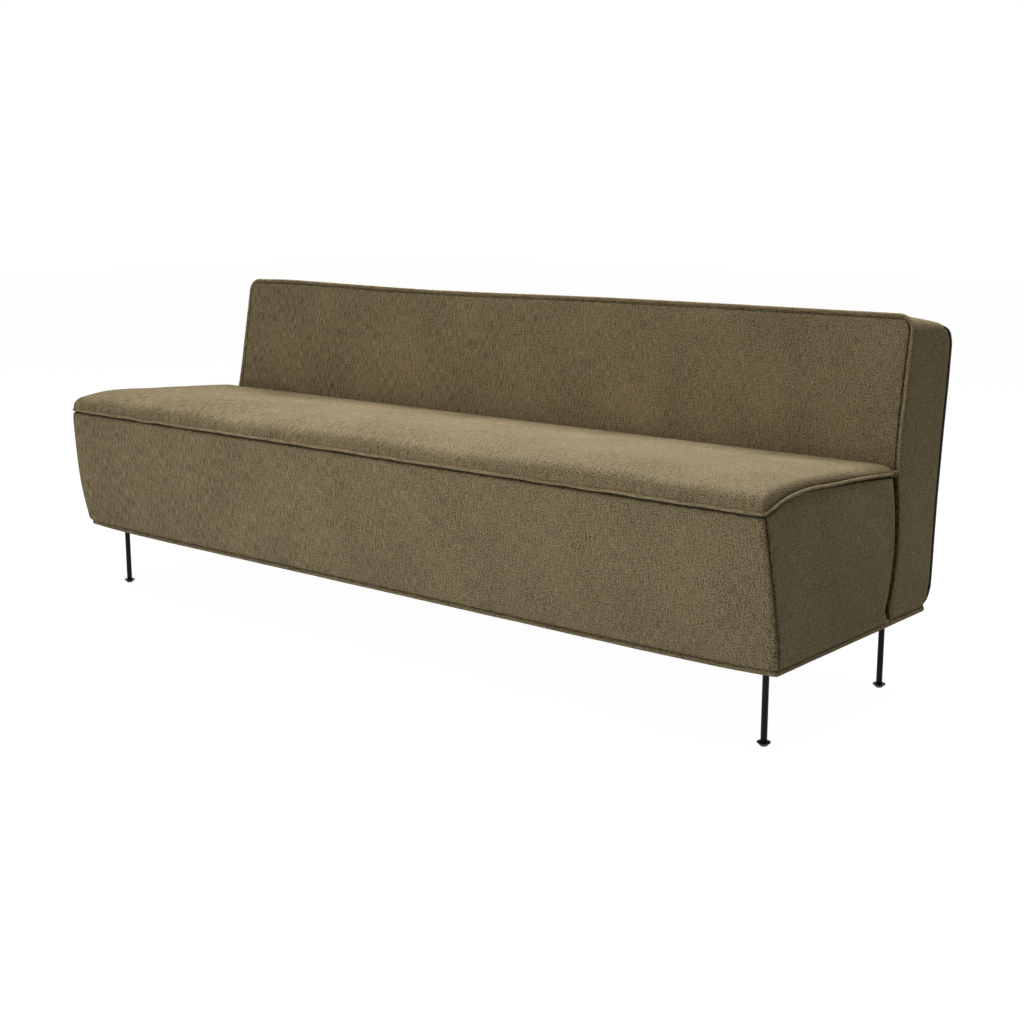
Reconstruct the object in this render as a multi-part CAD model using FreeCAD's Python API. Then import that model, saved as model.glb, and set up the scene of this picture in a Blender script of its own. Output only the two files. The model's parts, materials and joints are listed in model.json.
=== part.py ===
import FreeCAD
import Part
import math
import os

# An armless upholstered banquette. X runs along its length, -Y is its front, +Z is up.
# The origin is on the floor, below the middle of the whole object. All sizes are in millimetres.

# Overall
WIDTH = 2100.0              # over the roll round the base board
FRONT_REACH = 395.0         # from the origin to the outside of the seat's front welt

# Levelling glides and legs
GLIDE_HEIGHT = 8.5
GLIDE_RIM_D = 27.0
GLIDE_FOOT_D = 14.0
GLIDE_LIP = 2.0
STUD_D = 6.0
STUD_LENGTH = 24.0
STUD_PLAY = 0.05
STUD_TIP_ROOM = 2.0
LEG_D = 13.0
LEG_LENGTH = 152.5
LEG_FROM_END = 65.0         # rod's axis to the end of the base
LEG_FROM_FRONT = 67.0       # front rod's axis to the front of the base
LEG_FROM_REAR = 75.0        # rear rod's axis to the rear of the base
LEG_PLATE_D = 70.0
LEG_PLATE_T = 4.0
LEG_SCREWS_PER_PLATE = 3
LEG_SCREW_CIRCLE_D = 52.0
LEG_SCREW_D = 4.5
LEG_SCREW_HEAD_D = 9.0
LEG_SCREW_HEAD_H = 2.6
LEG_SCREW_GRIP = 9.0        # length inside the base board
SCREW_PLAY = 0.1

# Base board and the cloth below it
DUST_COVER_T = 1.0
DUST_COVER_MARGIN = 14.0
BOARD_T = 12.0
BASE_FROM_WELT = 47.5       # how far the base's front lies behind the seat's front face
BASE_DEPTH = 611.0
BASE_FRONT_CORNER_R = 14.0
BASE_REAR_CORNER_R = 30.0
ROLL_W = 6.0                # width of the roll in plan
ROLL_EDGE_R = 5.6

# Fabric
COVER_T = 2.0
CLEAR = 0.3                 # between a cover and what it is stretched over
WELT_D = 6.5
WELT_PROUD = 1.4            # welt's centre outside the face that it is sewn to
SEAM_IN = 8.0               # front corner seam behind the front face

# Seat block, in its side view
WELT_HEIGHT = 297.0         # front welt above the base board
FRONT_TURN_R = 300.0        # the front panel leaves the welt upright and turns under
FRONT_TURN_DEG = 6.0
PANEL_PROUD = 1.0           # base roll in front of the foot of the front panel
NOSE_BACK = 26.5            # rolled front edge: run and rise of its first arc
NOSE_RISE = 31.0
CREST_RUN = 164.0           # run and rise of the crest behind it, which ends in a plain slope
CREST_RISE = 7.0
SEAT_BACK_GAP = 5.0
END_ROLL_R = 15.0           # roll of the seat's ends and front corners
# Seat block, in its front view: how far the ends lie inside the base's ends
END_MID_HEIGHT = 112.0
END_TOP_HEIGHT = 302.0
FRONT_END_INSET = (2.0, 0.5, 14.0)      # foot, middle and top, at the front
REAR_END_INSET = (17.0, 9.5, 35.0)      # foot, middle and top, at the rear
# Path of the seat's side welt
WELT_CORNER_R = 8.0
WELT_SWEEP_R = 15.0
WELT_SWEEP_DEG = 35.0
WELT_CLIMB = 22.5
WELT_REAR_FALL = 25.5

# Seat frame, springing and filling
RAIL_T = 22.0
RAIL_HEIGHT = 212.0
FRONT_PAD_T = 18.0
SIDE_PAD_LEAST = 5.0
CROSS_RAIL_X = 330.0
CROSS_RAIL_HEIGHT = 120.0
BLOCK_LEG = 70.0
BLOCK_HEIGHT = 110.0
WEB_W = 60.0
WEB_T = 2.0
WEB_PITCH = 150.0
WEB_LANDING = 4.0
FELT_T = 6.0
SEAT_SCREW_D = 5.0
SEAT_SCREW_GRIP = 32.0
SEAT_SCREW_HEAD_D = 10.0
SEAT_SCREW_HEAD_H = 3.0
SEAT_SCREW_X = (250.0, 800.0)

# Back
BACK_LEAN_DEG = 10.0
BACK_HEIGHT = 617.0         # along its slope
BACK_T = 193.0
BACK_FROM_WELT = 495.5      # foot of its front face behind the seat's front face
BACK_TOP_INSET = 38.0       # ends at the top inside the base's ends
BACK_FLARE_R = 6305.0       # its ends sweep out towards the base
BACK_CORNER_R = 30.0
BACK_SHOULDER_R = 45.0      # rear of the top, in the side view
BACK_HEEL_R = 43.0          # rear of the foot, in the side view
BACK_HEEL_RISE = 70.0
REAR_LIP = 10.0             # rear cover turned round onto the ends
BACK_FOAM_T = 56.0
BACK_REAR_PAD_T = 10.0
BACK_TOP_PAD_T = 24.0
BACK_END_PAD_LEAST = 20.0
RIB_T = 22.0
RIB_SHOULDER_R = 20.0
BACK_RAIL_W = 40.0
BACK_RAIL_D = 45.0
BACK_MID_RAIL_S = 300.0
BACK_FOOT_RAIL_RISE = 60.0
BACK_WEB_PITCH = 110.0
BACK_BOLT_D = 8.0
BACK_BOLT_GRIP = 40.0
BACK_BOLT_HEAD_D = 16.0
BACK_BOLT_HEAD_H = 5.0
BACK_BOLT_X = (300.0, 700.0)

# Levels and lines that follow from the sizes above
LEG_TOP_Z = GLIDE_HEIGHT + LEG_LENGTH
PLATE_TOP_Z = LEG_TOP_Z + LEG_PLATE_T
BOARD_Z = PLATE_TOP_Z + DUST_COVER_T
BOARD_TOP_Z = BOARD_Z + BOARD_T
RAIL_TOP_Z = BOARD_TOP_Z + RAIL_HEIGHT
FOAM_Z = RAIL_TOP_Z + 2.0 * WEB_T + FELT_T
WELT_Z = BOARD_TOP_Z + WELT_HEIGHT
WELT_R = WELT_D / 2.0
HALF_WIDTH = WIDTH / 2.0
FRONT_Y = -FRONT_REACH + WELT_R + WELT_PROUD
BASE_FRONT_Y = FRONT_Y + BASE_FROM_WELT
BASE_REAR_Y = BASE_FRONT_Y + BASE_DEPTH
PANEL_FOOT_Y = BASE_FRONT_Y + PANEL_PROUD
BACK_FOOT_Y = FRONT_Y + BACK_FROM_WELT
LEAN = math.radians(BACK_LEAN_DEG)
LINING = COVER_T + CLEAR
LEG_X = HALF_WIDTH - LEG_FROM_END
LEG_Y = {"front": BASE_FRONT_Y + LEG_FROM_FRONT, "rear": BASE_REAR_Y - LEG_FROM_REAR}
SIDES = {"left": -1.0, "right": 1.0}
# Solids that only cut others reach this far past them
REACH = 60.0


# Plane geometry: points are (y, z) pairs in the side view

def arc_from_tangent(start, heading, end):
    """Centre of the arc that leaves start along heading (radians) and runs to end, and its end heading."""
    left = (-math.sin(heading), math.cos(heading))
    chord = (end[0] - start[0], end[1] - start[1])
    radius = (chord[0] ** 2 + chord[1] ** 2) / (2.0 * (chord[0] * left[0] + chord[1] * left[1]))
    centre = (start[0] + radius * left[0], start[1] + radius * left[1])
    return centre, 2.0 * math.atan2(chord[1], chord[0]) - heading


def towards(point, target, distance):
    """The point moved by a distance towards a target."""
    run = math.hypot(target[0] - point[0], target[1] - point[1])
    share = distance / run
    return (point[0] + share * (target[0] - point[0]), point[1] + share * (target[1] - point[1]))


def arc_middle(start, end, centre):
    """Middle of the shorter arc from start to end about centre."""
    radius = math.hypot(start[0] - centre[0], start[1] - centre[1])
    chord_middle = ((start[0] + end[0]) / 2.0, (start[1] + end[1]) / 2.0)
    return towards(centre, chord_middle, radius)


def circle_through(a, b, c):
    """Centre and radius of the circle through three points."""
    d = 2.0 * (a[0] * (b[1] - c[1]) + b[0] * (c[1] - a[1]) + c[0] * (a[1] - b[1]))
    sq = [p[0] ** 2 + p[1] ** 2 for p in (a, b, c)]
    x = (sq[0] * (b[1] - c[1]) + sq[1] * (c[1] - a[1]) + sq[2] * (a[1] - b[1])) / d
    y = (sq[0] * (c[0] - b[0]) + sq[1] * (a[0] - c[0]) + sq[2] * (b[0] - a[0])) / d
    return (x, y), math.hypot(a[0] - x, a[1] - y)


def side_point(point, x=0.0):
    return FreeCAD.Vector(x, point[0], point[1])


def side_line(a, b, x=0.0):
    return Part.LineSegment(side_point(a, x), side_point(b, x)).toShape()


def side_arc(a, b, centre, x=0.0):
    middle = arc_middle(a, b, centre)
    return Part.Arc(side_point(a, x), side_point(middle, x), side_point(b, x)).toShape()


def along_x(edges, x_low, x_high):
    """Solid of a closed side-view outline, drawn at x = 0, between two x values."""
    face = Part.Face(Part.Wire(edges))
    face.translate(FreeCAD.Vector(x_low, 0, 0))
    return face.extrude(FreeCAD.Vector(x_high - x_low, 0, 0))


def side_polygon(points):
    pairs = zip(points, points[1:] + points[:1])
    return [side_line(a, b) for a, b in pairs]


def box_between(x0, x1, y0, y1, z0, z1):
    return Part.makeBox(x1 - x0, y1 - y0, z1 - z0, FreeCAD.Vector(x0, y0, z0))


def rod(x, y, z, diameter, height):
    return Part.makeCylinder(diameter / 2.0, height, FreeCAD.Vector(x, y, z))


def cut_all(shape, tools):
    return shape.cut(tools) if tools else shape


def mirrored(shape):
    return shape.mirror(FreeCAD.Vector(0, 0, 0), FreeCAD.Vector(1, 0, 0))


def export(name, solids):
    """Write one node; several solids go in as separate solids."""
    solids = [s for shape in solids for s in shape.Solids]
    node = solids[0] if len(solids) == 1 else Part.makeCompound(solids)
    node.exportStep("parts/" + name + ".step")


# Glides, legs and their screws

def glide(x, y):
    """Cone foot with a stud that screws up into the rod."""
    foot = Part.makeCone(GLIDE_FOOT_D / 2.0, GLIDE_RIM_D / 2.0, GLIDE_HEIGHT - GLIDE_LIP,
                         FreeCAD.Vector(x, y, 0))
    lip = rod(x, y, GLIDE_HEIGHT - GLIDE_LIP, GLIDE_RIM_D, GLIDE_LIP)
    stud = rod(x, y, GLIDE_HEIGHT, STUD_D, STUD_LENGTH)
    return foot.fuse([lip, stud]).removeSplitter()


def leg_screw_places(x, y):
    radius = LEG_SCREW_CIRCLE_D / 2.0
    step = 2.0 * math.pi / LEG_SCREWS_PER_PLATE
    return [(x + radius * math.cos(i * step), y + radius * math.sin(i * step))
            for i in range(LEG_SCREWS_PER_PLATE)]


def leg(x, y):
    """Rod with a round plate welded on its top and a bore for the glide's stud."""
    shape = rod(x, y, GLIDE_HEIGHT, LEG_D, LEG_LENGTH)
    shape = shape.fuse(rod(x, y, LEG_TOP_Z, LEG_PLATE_D, LEG_PLATE_T))
    bore = rod(x, y, GLIDE_HEIGHT, STUD_D + 2.0 * STUD_PLAY, STUD_LENGTH + STUD_TIP_ROOM)
    holes = [rod(sx, sy, LEG_TOP_Z, LEG_SCREW_D + 2.0 * SCREW_PLAY, LEG_PLATE_T)
             for sx, sy in leg_screw_places(x, y)]
    return cut_all(shape, [bore] + holes)


def leg_places():
    return [(end, side, SIDES[side] * LEG_X, LEG_Y[end]) for end in LEG_Y for side in SIDES]


def leg_screw(x, y):
    head = rod(x, y, LEG_TOP_Z - LEG_SCREW_HEAD_H, LEG_SCREW_HEAD_D, LEG_SCREW_HEAD_H)
    shank = rod(x, y, LEG_TOP_Z, LEG_SCREW_D, BOARD_Z - LEG_TOP_Z + LEG_SCREW_GRIP)
    return head.fuse(shank)


def all_leg_screw_places():
    return [place for _, _, x, y in leg_places() for place in leg_screw_places(x, y)]


# Base

def base_plate(inset, z, thickness):
    """Plate with the base's outline in plan, drawn in by an inset."""
    x = HALF_WIDTH - inset
    y0 = BASE_FRONT_Y + inset
    y1 = BASE_REAR_Y - inset
    plate = box_between(-x, x, y0, y1, z, z + thickness)
    middle = (y0 + y1) / 2.0
    uprights = [e for e in plate.Edges if abs(e.tangentAt(e.FirstParameter).z) > 0.99]
    front = [e for e in uprights if e.CenterOfMass.y < middle]
    plate = plate.makeFillet(BASE_FRONT_CORNER_R - inset, front)
    uprights = [e for e in plate.Edges if abs(e.tangentAt(e.FirstParameter).z) > 0.99]
    rear = [e for e in uprights if e.CenterOfMass.y > middle and len(e.Vertexes) == 2
            and abs(abs(e.CenterOfMass.x) - x) < 0.01 and abs(e.CenterOfMass.y - y1) < 0.01]
    return plate.makeFillet(BASE_REAR_CORNER_R - inset, rear)


def base_board():
    holes = [rod(x, y, BOARD_Z, LEG_SCREW_D + 2.0 * SCREW_PLAY, LEG_SCREW_GRIP)
             for x, y in all_leg_screw_places()]
    for x, y in seat_screw_places():
        holes.append(rod(x, y, BOARD_Z, SEAT_SCREW_D + 2.0 * SCREW_PLAY, BOARD_T))
        holes.append(rod(x, y, BOARD_Z, SEAT_SCREW_HEAD_D + 2.0 * SCREW_PLAY, SEAT_SCREW_HEAD_H))
    for x, y in back_bolt_places():
        holes.append(rod(x, y, BOARD_Z, BACK_BOLT_D + 2.0 * SCREW_PLAY, BOARD_T))
        holes.append(rod(x, y, BOARD_Z, BACK_BOLT_HEAD_D + 2.0 * SCREW_PLAY, BACK_BOLT_HEAD_H))
    return cut_all(base_plate(ROLL_W, BOARD_Z, BOARD_T), holes)


def base_edge_roll():
    """Fabric roll round the edge of the board."""
    outer = base_plate(0.0, BOARD_Z, BOARD_T)
    rims = [e for e in outer.Edges if abs(e.CenterOfMass.z - BOARD_Z) < 0.01
            or abs(e.CenterOfMass.z - BOARD_TOP_Z) < 0.01]
    outer = outer.makeFillet(ROLL_EDGE_R, rims)
    return outer.cut(base_plate(ROLL_W, BOARD_Z, BOARD_T))


def dust_cover():
    holes = [rod(x, y, PLATE_TOP_Z, LEG_SCREW_D + 2.0 * SCREW_PLAY, DUST_COVER_T)
             for x, y in all_leg_screw_places()]
    corner = min(BASE_FRONT_CORNER_R, BASE_REAR_CORNER_R)
    cloth = base_plate(min(DUST_COVER_MARGIN, corner - 1.0), PLATE_TOP_Z, DUST_COVER_T)
    return cut_all(cloth, holes)


# Seat block

def seat_arcs():
    """Seat's side view up the front and over the crest: points, headings at the joins and arc centres."""
    welt = (FRONT_Y, WELT_Z)
    turn = math.radians(FRONT_TURN_DEG)
    turn_centre = (FRONT_Y + FRONT_TURN_R, WELT_Z)
    turn_end = (turn_centre[0] - FRONT_TURN_R * math.cos(turn), WELT_Z - FRONT_TURN_R * math.sin(turn))
    foot = (PANEL_FOOT_Y, BOARD_TOP_Z)
    panel_centre, _ = arc_from_tangent(turn_end, turn - math.pi / 2.0, foot)
    nose_end = (FRONT_Y + NOSE_BACK, WELT_Z + NOSE_RISE)
    nose_centre, nose_heading = arc_from_tangent(welt, math.pi / 2.0, nose_end)
    crest_end = (nose_end[0] + CREST_RUN, nose_end[1] + CREST_RISE)
    crest_centre, crest_heading = arc_from_tangent(nose_end, nose_heading, crest_end)
    points = [foot, turn_end, welt, nose_end, crest_end]
    headings = [math.pi / 2.0 + turn, math.pi / 2.0, nose_heading, crest_heading]
    return points, headings, [panel_centre, turn_centre, nose_centre, crest_centre]


def seat_rear_y(z, inset=0.0):
    """The seat's leaning rear face, a gap in front of the back."""
    return BACK_FOOT_Y + (z - BOARD_TOP_Z) * math.tan(LEAN) - (SEAT_BACK_GAP + inset) / math.cos(LEAN)


def on_circle_at_z(centre, radius, z):
    """Front crossing of a circle with a level."""
    return (centre[0] - math.sqrt(radius ** 2 - (z - centre[1]) ** 2), z)


def slope_to_rear(start, heading, inset):
    """End of the seat's top, where its plain slope meets the rear face."""
    gap = seat_rear_y(start[1], inset) - start[0]
    run = gap / (1.0 - math.tan(heading) * math.tan(LEAN))
    return (start[0] + run, start[1] + run * math.tan(heading))


def drawn_in(point, heading, inset):
    """The point moved to the right of its heading, which is into the seat."""
    return (point[0] + inset * math.sin(heading), point[1] - inset * math.cos(heading))


def seat_front_chain(inset):
    """Points of the side view from the front panel's foot to the crest's end, drawn in, and arc centres."""
    points, headings, centres = seat_arcs()
    foot = on_circle_at_z(centres[0], math.dist(points[0], centres[0]) - inset, BOARD_TOP_Z)
    return [foot] + [drawn_in(p, h, inset) for p, h in zip(points[1:], headings)], centres


def seat_outline(inset):
    """Closed side view of the seat block, drawn in by an inset everywhere but at the foot."""
    chain, centres = seat_front_chain(inset)
    _, headings, _ = seat_arcs()
    rear = slope_to_rear(chain[-1], headings[-1], inset)
    rear_foot = (seat_rear_y(BOARD_TOP_Z, inset), BOARD_TOP_Z)
    edges = [side_arc(a, b, c) for a, b, c in zip(chain, chain[1:], centres)]
    corners = [chain[-1], rear, rear_foot, chain[0]]
    return edges + [side_line(a, b) for a, b in zip(corners, corners[1:])]


def end_circle(insets):
    """Bulge of one end in the front view, as a circle in (x, z)."""
    heights = (0.0, END_MID_HEIGHT, END_TOP_HEIGHT)
    points = [(HALF_WIDTH - d, BOARD_TOP_Z + h) for d, h in zip(insets, heights)]
    return circle_through(*points)


def end_x(insets, z, inset=0.0):
    centre, radius = end_circle(insets)
    return centre[0] + math.sqrt((radius - inset) ** 2 - (z - centre[1]) ** 2)


def seat_top_z():
    """A level above the whole seat."""
    return WELT_Z + NOSE_RISE + REACH


def section_ys():
    """Depths of the two front views, just past the seat's front and rear."""
    return FRONT_Y - CLEAR, seat_rear_y(seat_top_z()) + CLEAR


def seat_end_x(y, z):
    """Half the seat's length at a depth and a height."""
    y0, y1 = section_ys()
    share = (y - y0) / (y1 - y0)
    return (1.0 - share) * end_x(FRONT_END_INSET, z) + share * end_x(REAR_END_INSET, z)


def end_section(insets, inset, y):
    """Front view of the seat block at one depth."""
    top_z = seat_top_z()
    middle_z = (BOARD_TOP_Z + top_z) / 2.0
    levels = (BOARD_TOP_Z, middle_z, top_z)
    right = [FreeCAD.Vector(end_x(insets, z, inset), y, z) for z in levels]
    left = [FreeCAD.Vector(-v.x, v.y, v.z) for v in right]
    return Part.Wire([
        Part.Arc(*right).toShape(),
        Part.LineSegment(right[2], left[2]).toShape(),
        Part.Arc(*reversed(left)).toShape(),
        Part.LineSegment(left[0], right[0]).toShape(),
    ])


def seat_block(inset):
    """The seat's upholstered form, drawn in by an inset, with its ends and corners rolled."""
    front_y, rear_y = section_ys()
    front = end_section(FRONT_END_INSET, inset, front_y)
    rear = end_section(REAR_END_INSET, inset, rear_y)
    ends = Part.makeLoft([front, rear], True, True)
    block = along_x(seat_outline(inset), -WIDTH, WIDTH).common(ends)
    rear_foot_y = seat_rear_y(BOARD_TOP_Z, inset)

    def on_rear(v):
        return abs(v.Y - rear_foot_y - (v.Z - BOARD_TOP_Z) * math.tan(LEAN)) < 0.05

    def rolls(edge):
        vertices = edge.Vertexes
        at_end = all(abs(v.X) > HALF_WIDTH / 2.0 and v.X * vertices[0].X > 0 for v in vertices)
        at_foot = all(v.Z < BOARD_TOP_Z + 0.01 for v in vertices)
        return at_end and not at_foot and not all(on_rear(v) for v in vertices)

    return block.makeFillet(END_ROLL_R - inset, [e for e in block.Edges if rolls(e)])


def welt_side_points():
    """Side-view points and arc centres of the seat's side welt, from the front corner to the rear."""
    start = (FRONT_Y - WELT_PROUD + WELT_CORNER_R, WELT_Z)
    sweep = math.radians(WELT_SWEEP_DEG)
    sweep_centre = (start[0], start[1] + WELT_SWEEP_R)
    bend = (start[0] + WELT_SWEEP_R * math.sin(sweep), start[1] + WELT_SWEEP_R * (1.0 - math.cos(sweep)))
    top_z = WELT_Z + WELT_CLIMB
    climb_r = (top_z - bend[1]) / (1.0 - math.cos(sweep))
    top = (bend[0] + climb_r * math.sin(sweep), top_z)
    rear_z = top_z - WELT_REAR_FALL
    rear = (seat_rear_y(rear_z) - WELT_R, rear_z)
    rear_centre, _ = arc_from_tangent(top, 0.0, rear)
    return [start, bend, top, rear], [sweep_centre, (top[0], top[1] - climb_r), rear_centre]


def seat_welt(diameter):
    """Piping along the seat's front and both ends, as one tube."""
    points, centres = welt_side_points()
    front_x = seat_end_x(*points[0]) + WELT_PROUD
    rear_x = seat_end_x(*points[-1]) + WELT_PROUD
    start = FreeCAD.Vector(front_x, points[0][0], WELT_Z)
    turn_in = math.atan2(front_x - rear_x, points[-1][0] - points[0][0])
    edges = [side_arc(a, b, c, front_x) for a, b, c in zip(points, points[1:], centres)]
    for edge in edges:
        edge.rotate(start, FreeCAD.Vector(0, 0, 1), math.degrees(turn_in))
    turn = math.pi / 2.0 + turn_in
    line_end = FreeCAD.Vector(front_x - WELT_CORNER_R * math.sin(turn),
                              start.y - WELT_CORNER_R * (1.0 - math.cos(turn)), WELT_Z)
    half = turn / 2.0
    corner_middle = line_end + FreeCAD.Vector(WELT_CORNER_R * math.sin(half),
                                              WELT_CORNER_R * (1.0 - math.cos(half)), 0)
    edges.insert(0, Part.Arc(line_end, corner_middle, start).toShape())
    left = [mirrored(e) for e in edges]
    front_line = Part.LineSegment(FreeCAD.Vector(-line_end.x, line_end.y, WELT_Z), line_end).toShape()
    path = Part.Wire(Part.__sortEdges__(left + [front_line] + edges))
    return tube(path, diameter)


def tube(path, diameter):
    """Round tube along a smooth open path."""
    first = path.OrderedEdges[0]
    ends = (first.FirstParameter, first.LastParameter)
    start = path.OrderedVertexes[0].Point
    at = min(ends, key=lambda p: first.valueAt(p).distanceToPoint(start))
    ring = Part.Circle(start, first.tangentAt(at), diameter / 2.0).toShape()
    return path.makePipeShell([Part.Wire([ring])], True, False)


def seat_side_region():
    """Prism over the right end that holds its side cover: below the welt and behind the corner seam."""
    (foot, turn_end, seam_top, _, _), centres = seat_front_chain(SEAM_IN)
    side, side_centres = welt_side_points()
    rear_top = (seat_rear_y(side[-1][1]) + REACH, side[-1][1])
    rear_foot = (rear_top[0], BOARD_TOP_Z)
    seam = [side_arc(foot, turn_end, centres[0]), side_arc(turn_end, seam_top, centres[1])]
    join = [side_line(seam_top, side[0])] if math.dist(seam_top, side[0]) > 0.001 else []
    welt = [side_arc(a, b, c) for a, b, c in zip(side, side[1:], side_centres)]
    rest = [side_line(side[-1], rear_top), side_line(rear_top, rear_foot), side_line(rear_foot, foot)]
    return along_x(seam + join + welt + rest, HALF_WIDTH - 2.0 * REACH, HALF_WIDTH + REACH)


def seat_covers():
    """Top, front and side covers of the seat, parted where the welt and the corner seams run."""
    skin = seat_block(0.0).cut(seat_block(COVER_T)).cut(seat_welt(WELT_D + 2.0 * SCREW_PLAY))
    right = seat_side_region()
    left = mirrored(right)
    rest = skin.cut([left, right])
    below_welt = box_between(-WIDTH, WIDTH, FRONT_Y - REACH, FRONT_Y + CREST_RUN, BOARD_TOP_Z - REACH, WELT_Z)
    return {
        "seat_top_cover": rest.cut(below_welt),
        "seat_front_cover": rest.common(below_welt),
        "seat_side_cover_left": skin.common(left),
        "seat_side_cover_right": skin.common(right),
    }


# Seat frame and filling

def front_rail_face(z):
    """Leaning front face of the front rail."""
    points, _, centres = seat_arcs()
    top = on_circle_at_z(centres[0], math.dist(points[0], centres[0]), RAIL_TOP_Z)
    share = (z - BOARD_TOP_Z) / (RAIL_TOP_Z - BOARD_TOP_Z)
    return PANEL_FOOT_Y + share * (top[0] - PANEL_FOOT_Y) + FRONT_PAD_T


def rear_rail_face(z):
    return seat_rear_y(z, LINING)


def side_rail_x():
    """Outer face of the side rails."""
    return HALF_WIDTH - max(REAR_END_INSET + FRONT_END_INSET) - SIDE_PAD_LEAST


def between_faces(front_in, rear_in, z0, z1):
    """Side-view polygon between the two leaning rail faces, each drawn in."""
    return side_polygon([
        (front_rail_face(z0) + front_in, z0),
        (rear_rail_face(z0) - rear_in, z0),
        (rear_rail_face(z1) - rear_in, z1),
        (front_rail_face(z1) + front_in, z1),
    ])


def seat_screw_places():
    """Screws up into the front and rear rails."""
    z = BOARD_TOP_Z + SEAT_SCREW_GRIP / 2.0
    rows = (front_rail_face(z) + RAIL_T / 2.0, rear_rail_face(z) - RAIL_T / 2.0)
    return [(side * x, y) for y in rows for side in SIDES.values() for x in SEAT_SCREW_X]


def seat_screw(x, y):
    head = rod(x, y, BOARD_Z, SEAT_SCREW_HEAD_D, SEAT_SCREW_HEAD_H)
    top = BOARD_TOP_Z + SEAT_SCREW_GRIP
    return head.fuse(rod(x, y, BOARD_Z + SEAT_SCREW_HEAD_H, SEAT_SCREW_D, top - BOARD_Z - SEAT_SCREW_HEAD_H))


def seat_frame():
    x = side_rail_x()
    inner = between_faces(RAIL_T, RAIL_T, BOARD_TOP_Z, RAIL_TOP_Z)
    whole = along_x(between_faces(0.0, 0.0, BOARD_TOP_Z, RAIL_TOP_Z), -x, x)
    front = whole.cut(along_x(between_faces(RAIL_T, -REACH, BOARD_TOP_Z, RAIL_TOP_Z), -x, x))
    rear = whole.cut(along_x(between_faces(-REACH, RAIL_T, BOARD_TOP_Z, RAIL_TOP_Z), -x, x))
    bores = [rod(sx, sy, BOARD_TOP_Z, SEAT_SCREW_D + 2.0 * SCREW_PLAY, SEAT_SCREW_GRIP)
             for sx, sy in seat_screw_places()]
    low = between_faces(RAIL_T, RAIL_T, BOARD_TOP_Z, BOARD_TOP_Z + CROSS_RAIL_HEIGHT)
    cross = [along_x(low, s * CROSS_RAIL_X - RAIL_T / 2.0, s * CROSS_RAIL_X + RAIL_T / 2.0)
             for s in SIDES.values()]
    right_rail = along_x(inner, x - RAIL_T, x)
    return {
        "seat_front_rail": [cut_all(front, bores)],
        "seat_rear_rail": [cut_all(rear, bores)],
        "seat_side_rail_left": [mirrored(right_rail)],
        "seat_side_rail_right": [right_rail],
        "seat_cross_rails": cross,
        "seat_corner_blocks": corner_blocks(),
    }


def corner_blocks():
    """Glue blocks in the inner corners, cut off at 45 degrees."""
    x = side_rail_x() - RAIL_T
    z1 = BOARD_TOP_Z + BLOCK_HEIGHT
    slab = along_x(between_faces(RAIL_T, RAIL_T, BOARD_TOP_Z, z1), x - BLOCK_LEG, x)
    corners = (
        (min(front_rail_face(BOARD_TOP_Z), front_rail_face(z1)) + RAIL_T, 1.0),
        (max(rear_rail_face(BOARD_TOP_Z), rear_rail_face(z1)) - RAIL_T, -1.0),
    )
    blocks = []
    for y, inward in corners:
        plan = [(x, y), (x, y + inward * BLOCK_LEG), (x - BLOCK_LEG, y)]
        corners_3d = [FreeCAD.Vector(px, py, BOARD_TOP_Z) for px, py in plan]
        wedge = Part.Face(Part.makePolygon(corners_3d + corners_3d[:1]))
        block = slab.common(wedge.extrude(FreeCAD.Vector(0, 0, BLOCK_HEIGHT)))
        blocks += [block, mirrored(block)]
    return blocks


def spaced(span, width, pitch):
    """Evenly spaced middles of strips inside a span about zero."""
    count = int((span - width) // pitch) + 1
    return [(i - (count - 1) / 2.0) * pitch for i in range(count)]


def seat_springing():
    """Two layers of webbing and the felt over them."""
    x = side_rail_x()
    y0 = front_rail_face(RAIL_TOP_Z) + WEB_LANDING
    y1 = rear_rail_face(RAIL_TOP_Z) - WEB_LANDING
    second_z = RAIL_TOP_Z + WEB_T
    felt_z = second_z + WEB_T
    cross = [box_between(c - WEB_W / 2.0, c + WEB_W / 2.0, y0, y1, RAIL_TOP_Z, second_z)
             for c in spaced(2.0 * (x - RAIL_T), WEB_W, WEB_PITCH)]
    middle = (y0 + y1) / 2.0
    long = [box_between(-x + WEB_LANDING, x - WEB_LANDING, middle + c - WEB_W / 2.0, middle + c + WEB_W / 2.0,
                        second_z, felt_z) for c in spaced(y1 - y0, WEB_W, WEB_PITCH)]
    felt = along_x(between_faces(0.0, 0.0, felt_z, FOAM_Z), -x, x)
    return {"seat_webbing_cross": cross, "seat_webbing_long": long, "seat_felt": [felt]}


def seat_filling():
    """Foam on the felt, and padding round the rails."""
    form = seat_block(LINING)
    x = side_rail_x()
    low = box_between(-WIDTH, WIDTH, -WIDTH, WIDTH, BOARD_TOP_Z - REACH, FOAM_Z)
    skirt = form.common(low)
    inside = along_x(between_faces(0.0, -REACH, BOARD_TOP_Z, FOAM_Z), -x, x)
    middle = box_between(-x, x, -WIDTH, WIDTH, BOARD_TOP_Z - REACH, FOAM_Z)
    ends = skirt.cut(middle)
    return {
        "seat_foam": form.cut(low),
        "seat_front_padding": skirt.common(middle).cut(inside),
        "seat_side_padding_left": ends.common(box_between(-WIDTH, 0, -WIDTH, WIDTH, 0, WIDTH)),
        "seat_side_padding_right": ends.common(box_between(0, WIDTH, -WIDTH, WIDTH, 0, WIDTH)),
    }


# Back: s runs up its slope from the foot of its front face, n runs through it to the rear

def lean_point(s, n):
    return (BACK_FOOT_Y + s * math.sin(LEAN) + n * math.cos(LEAN),
            BOARD_TOP_Z + s * math.cos(LEAN) - n * math.sin(LEAN))


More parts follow.
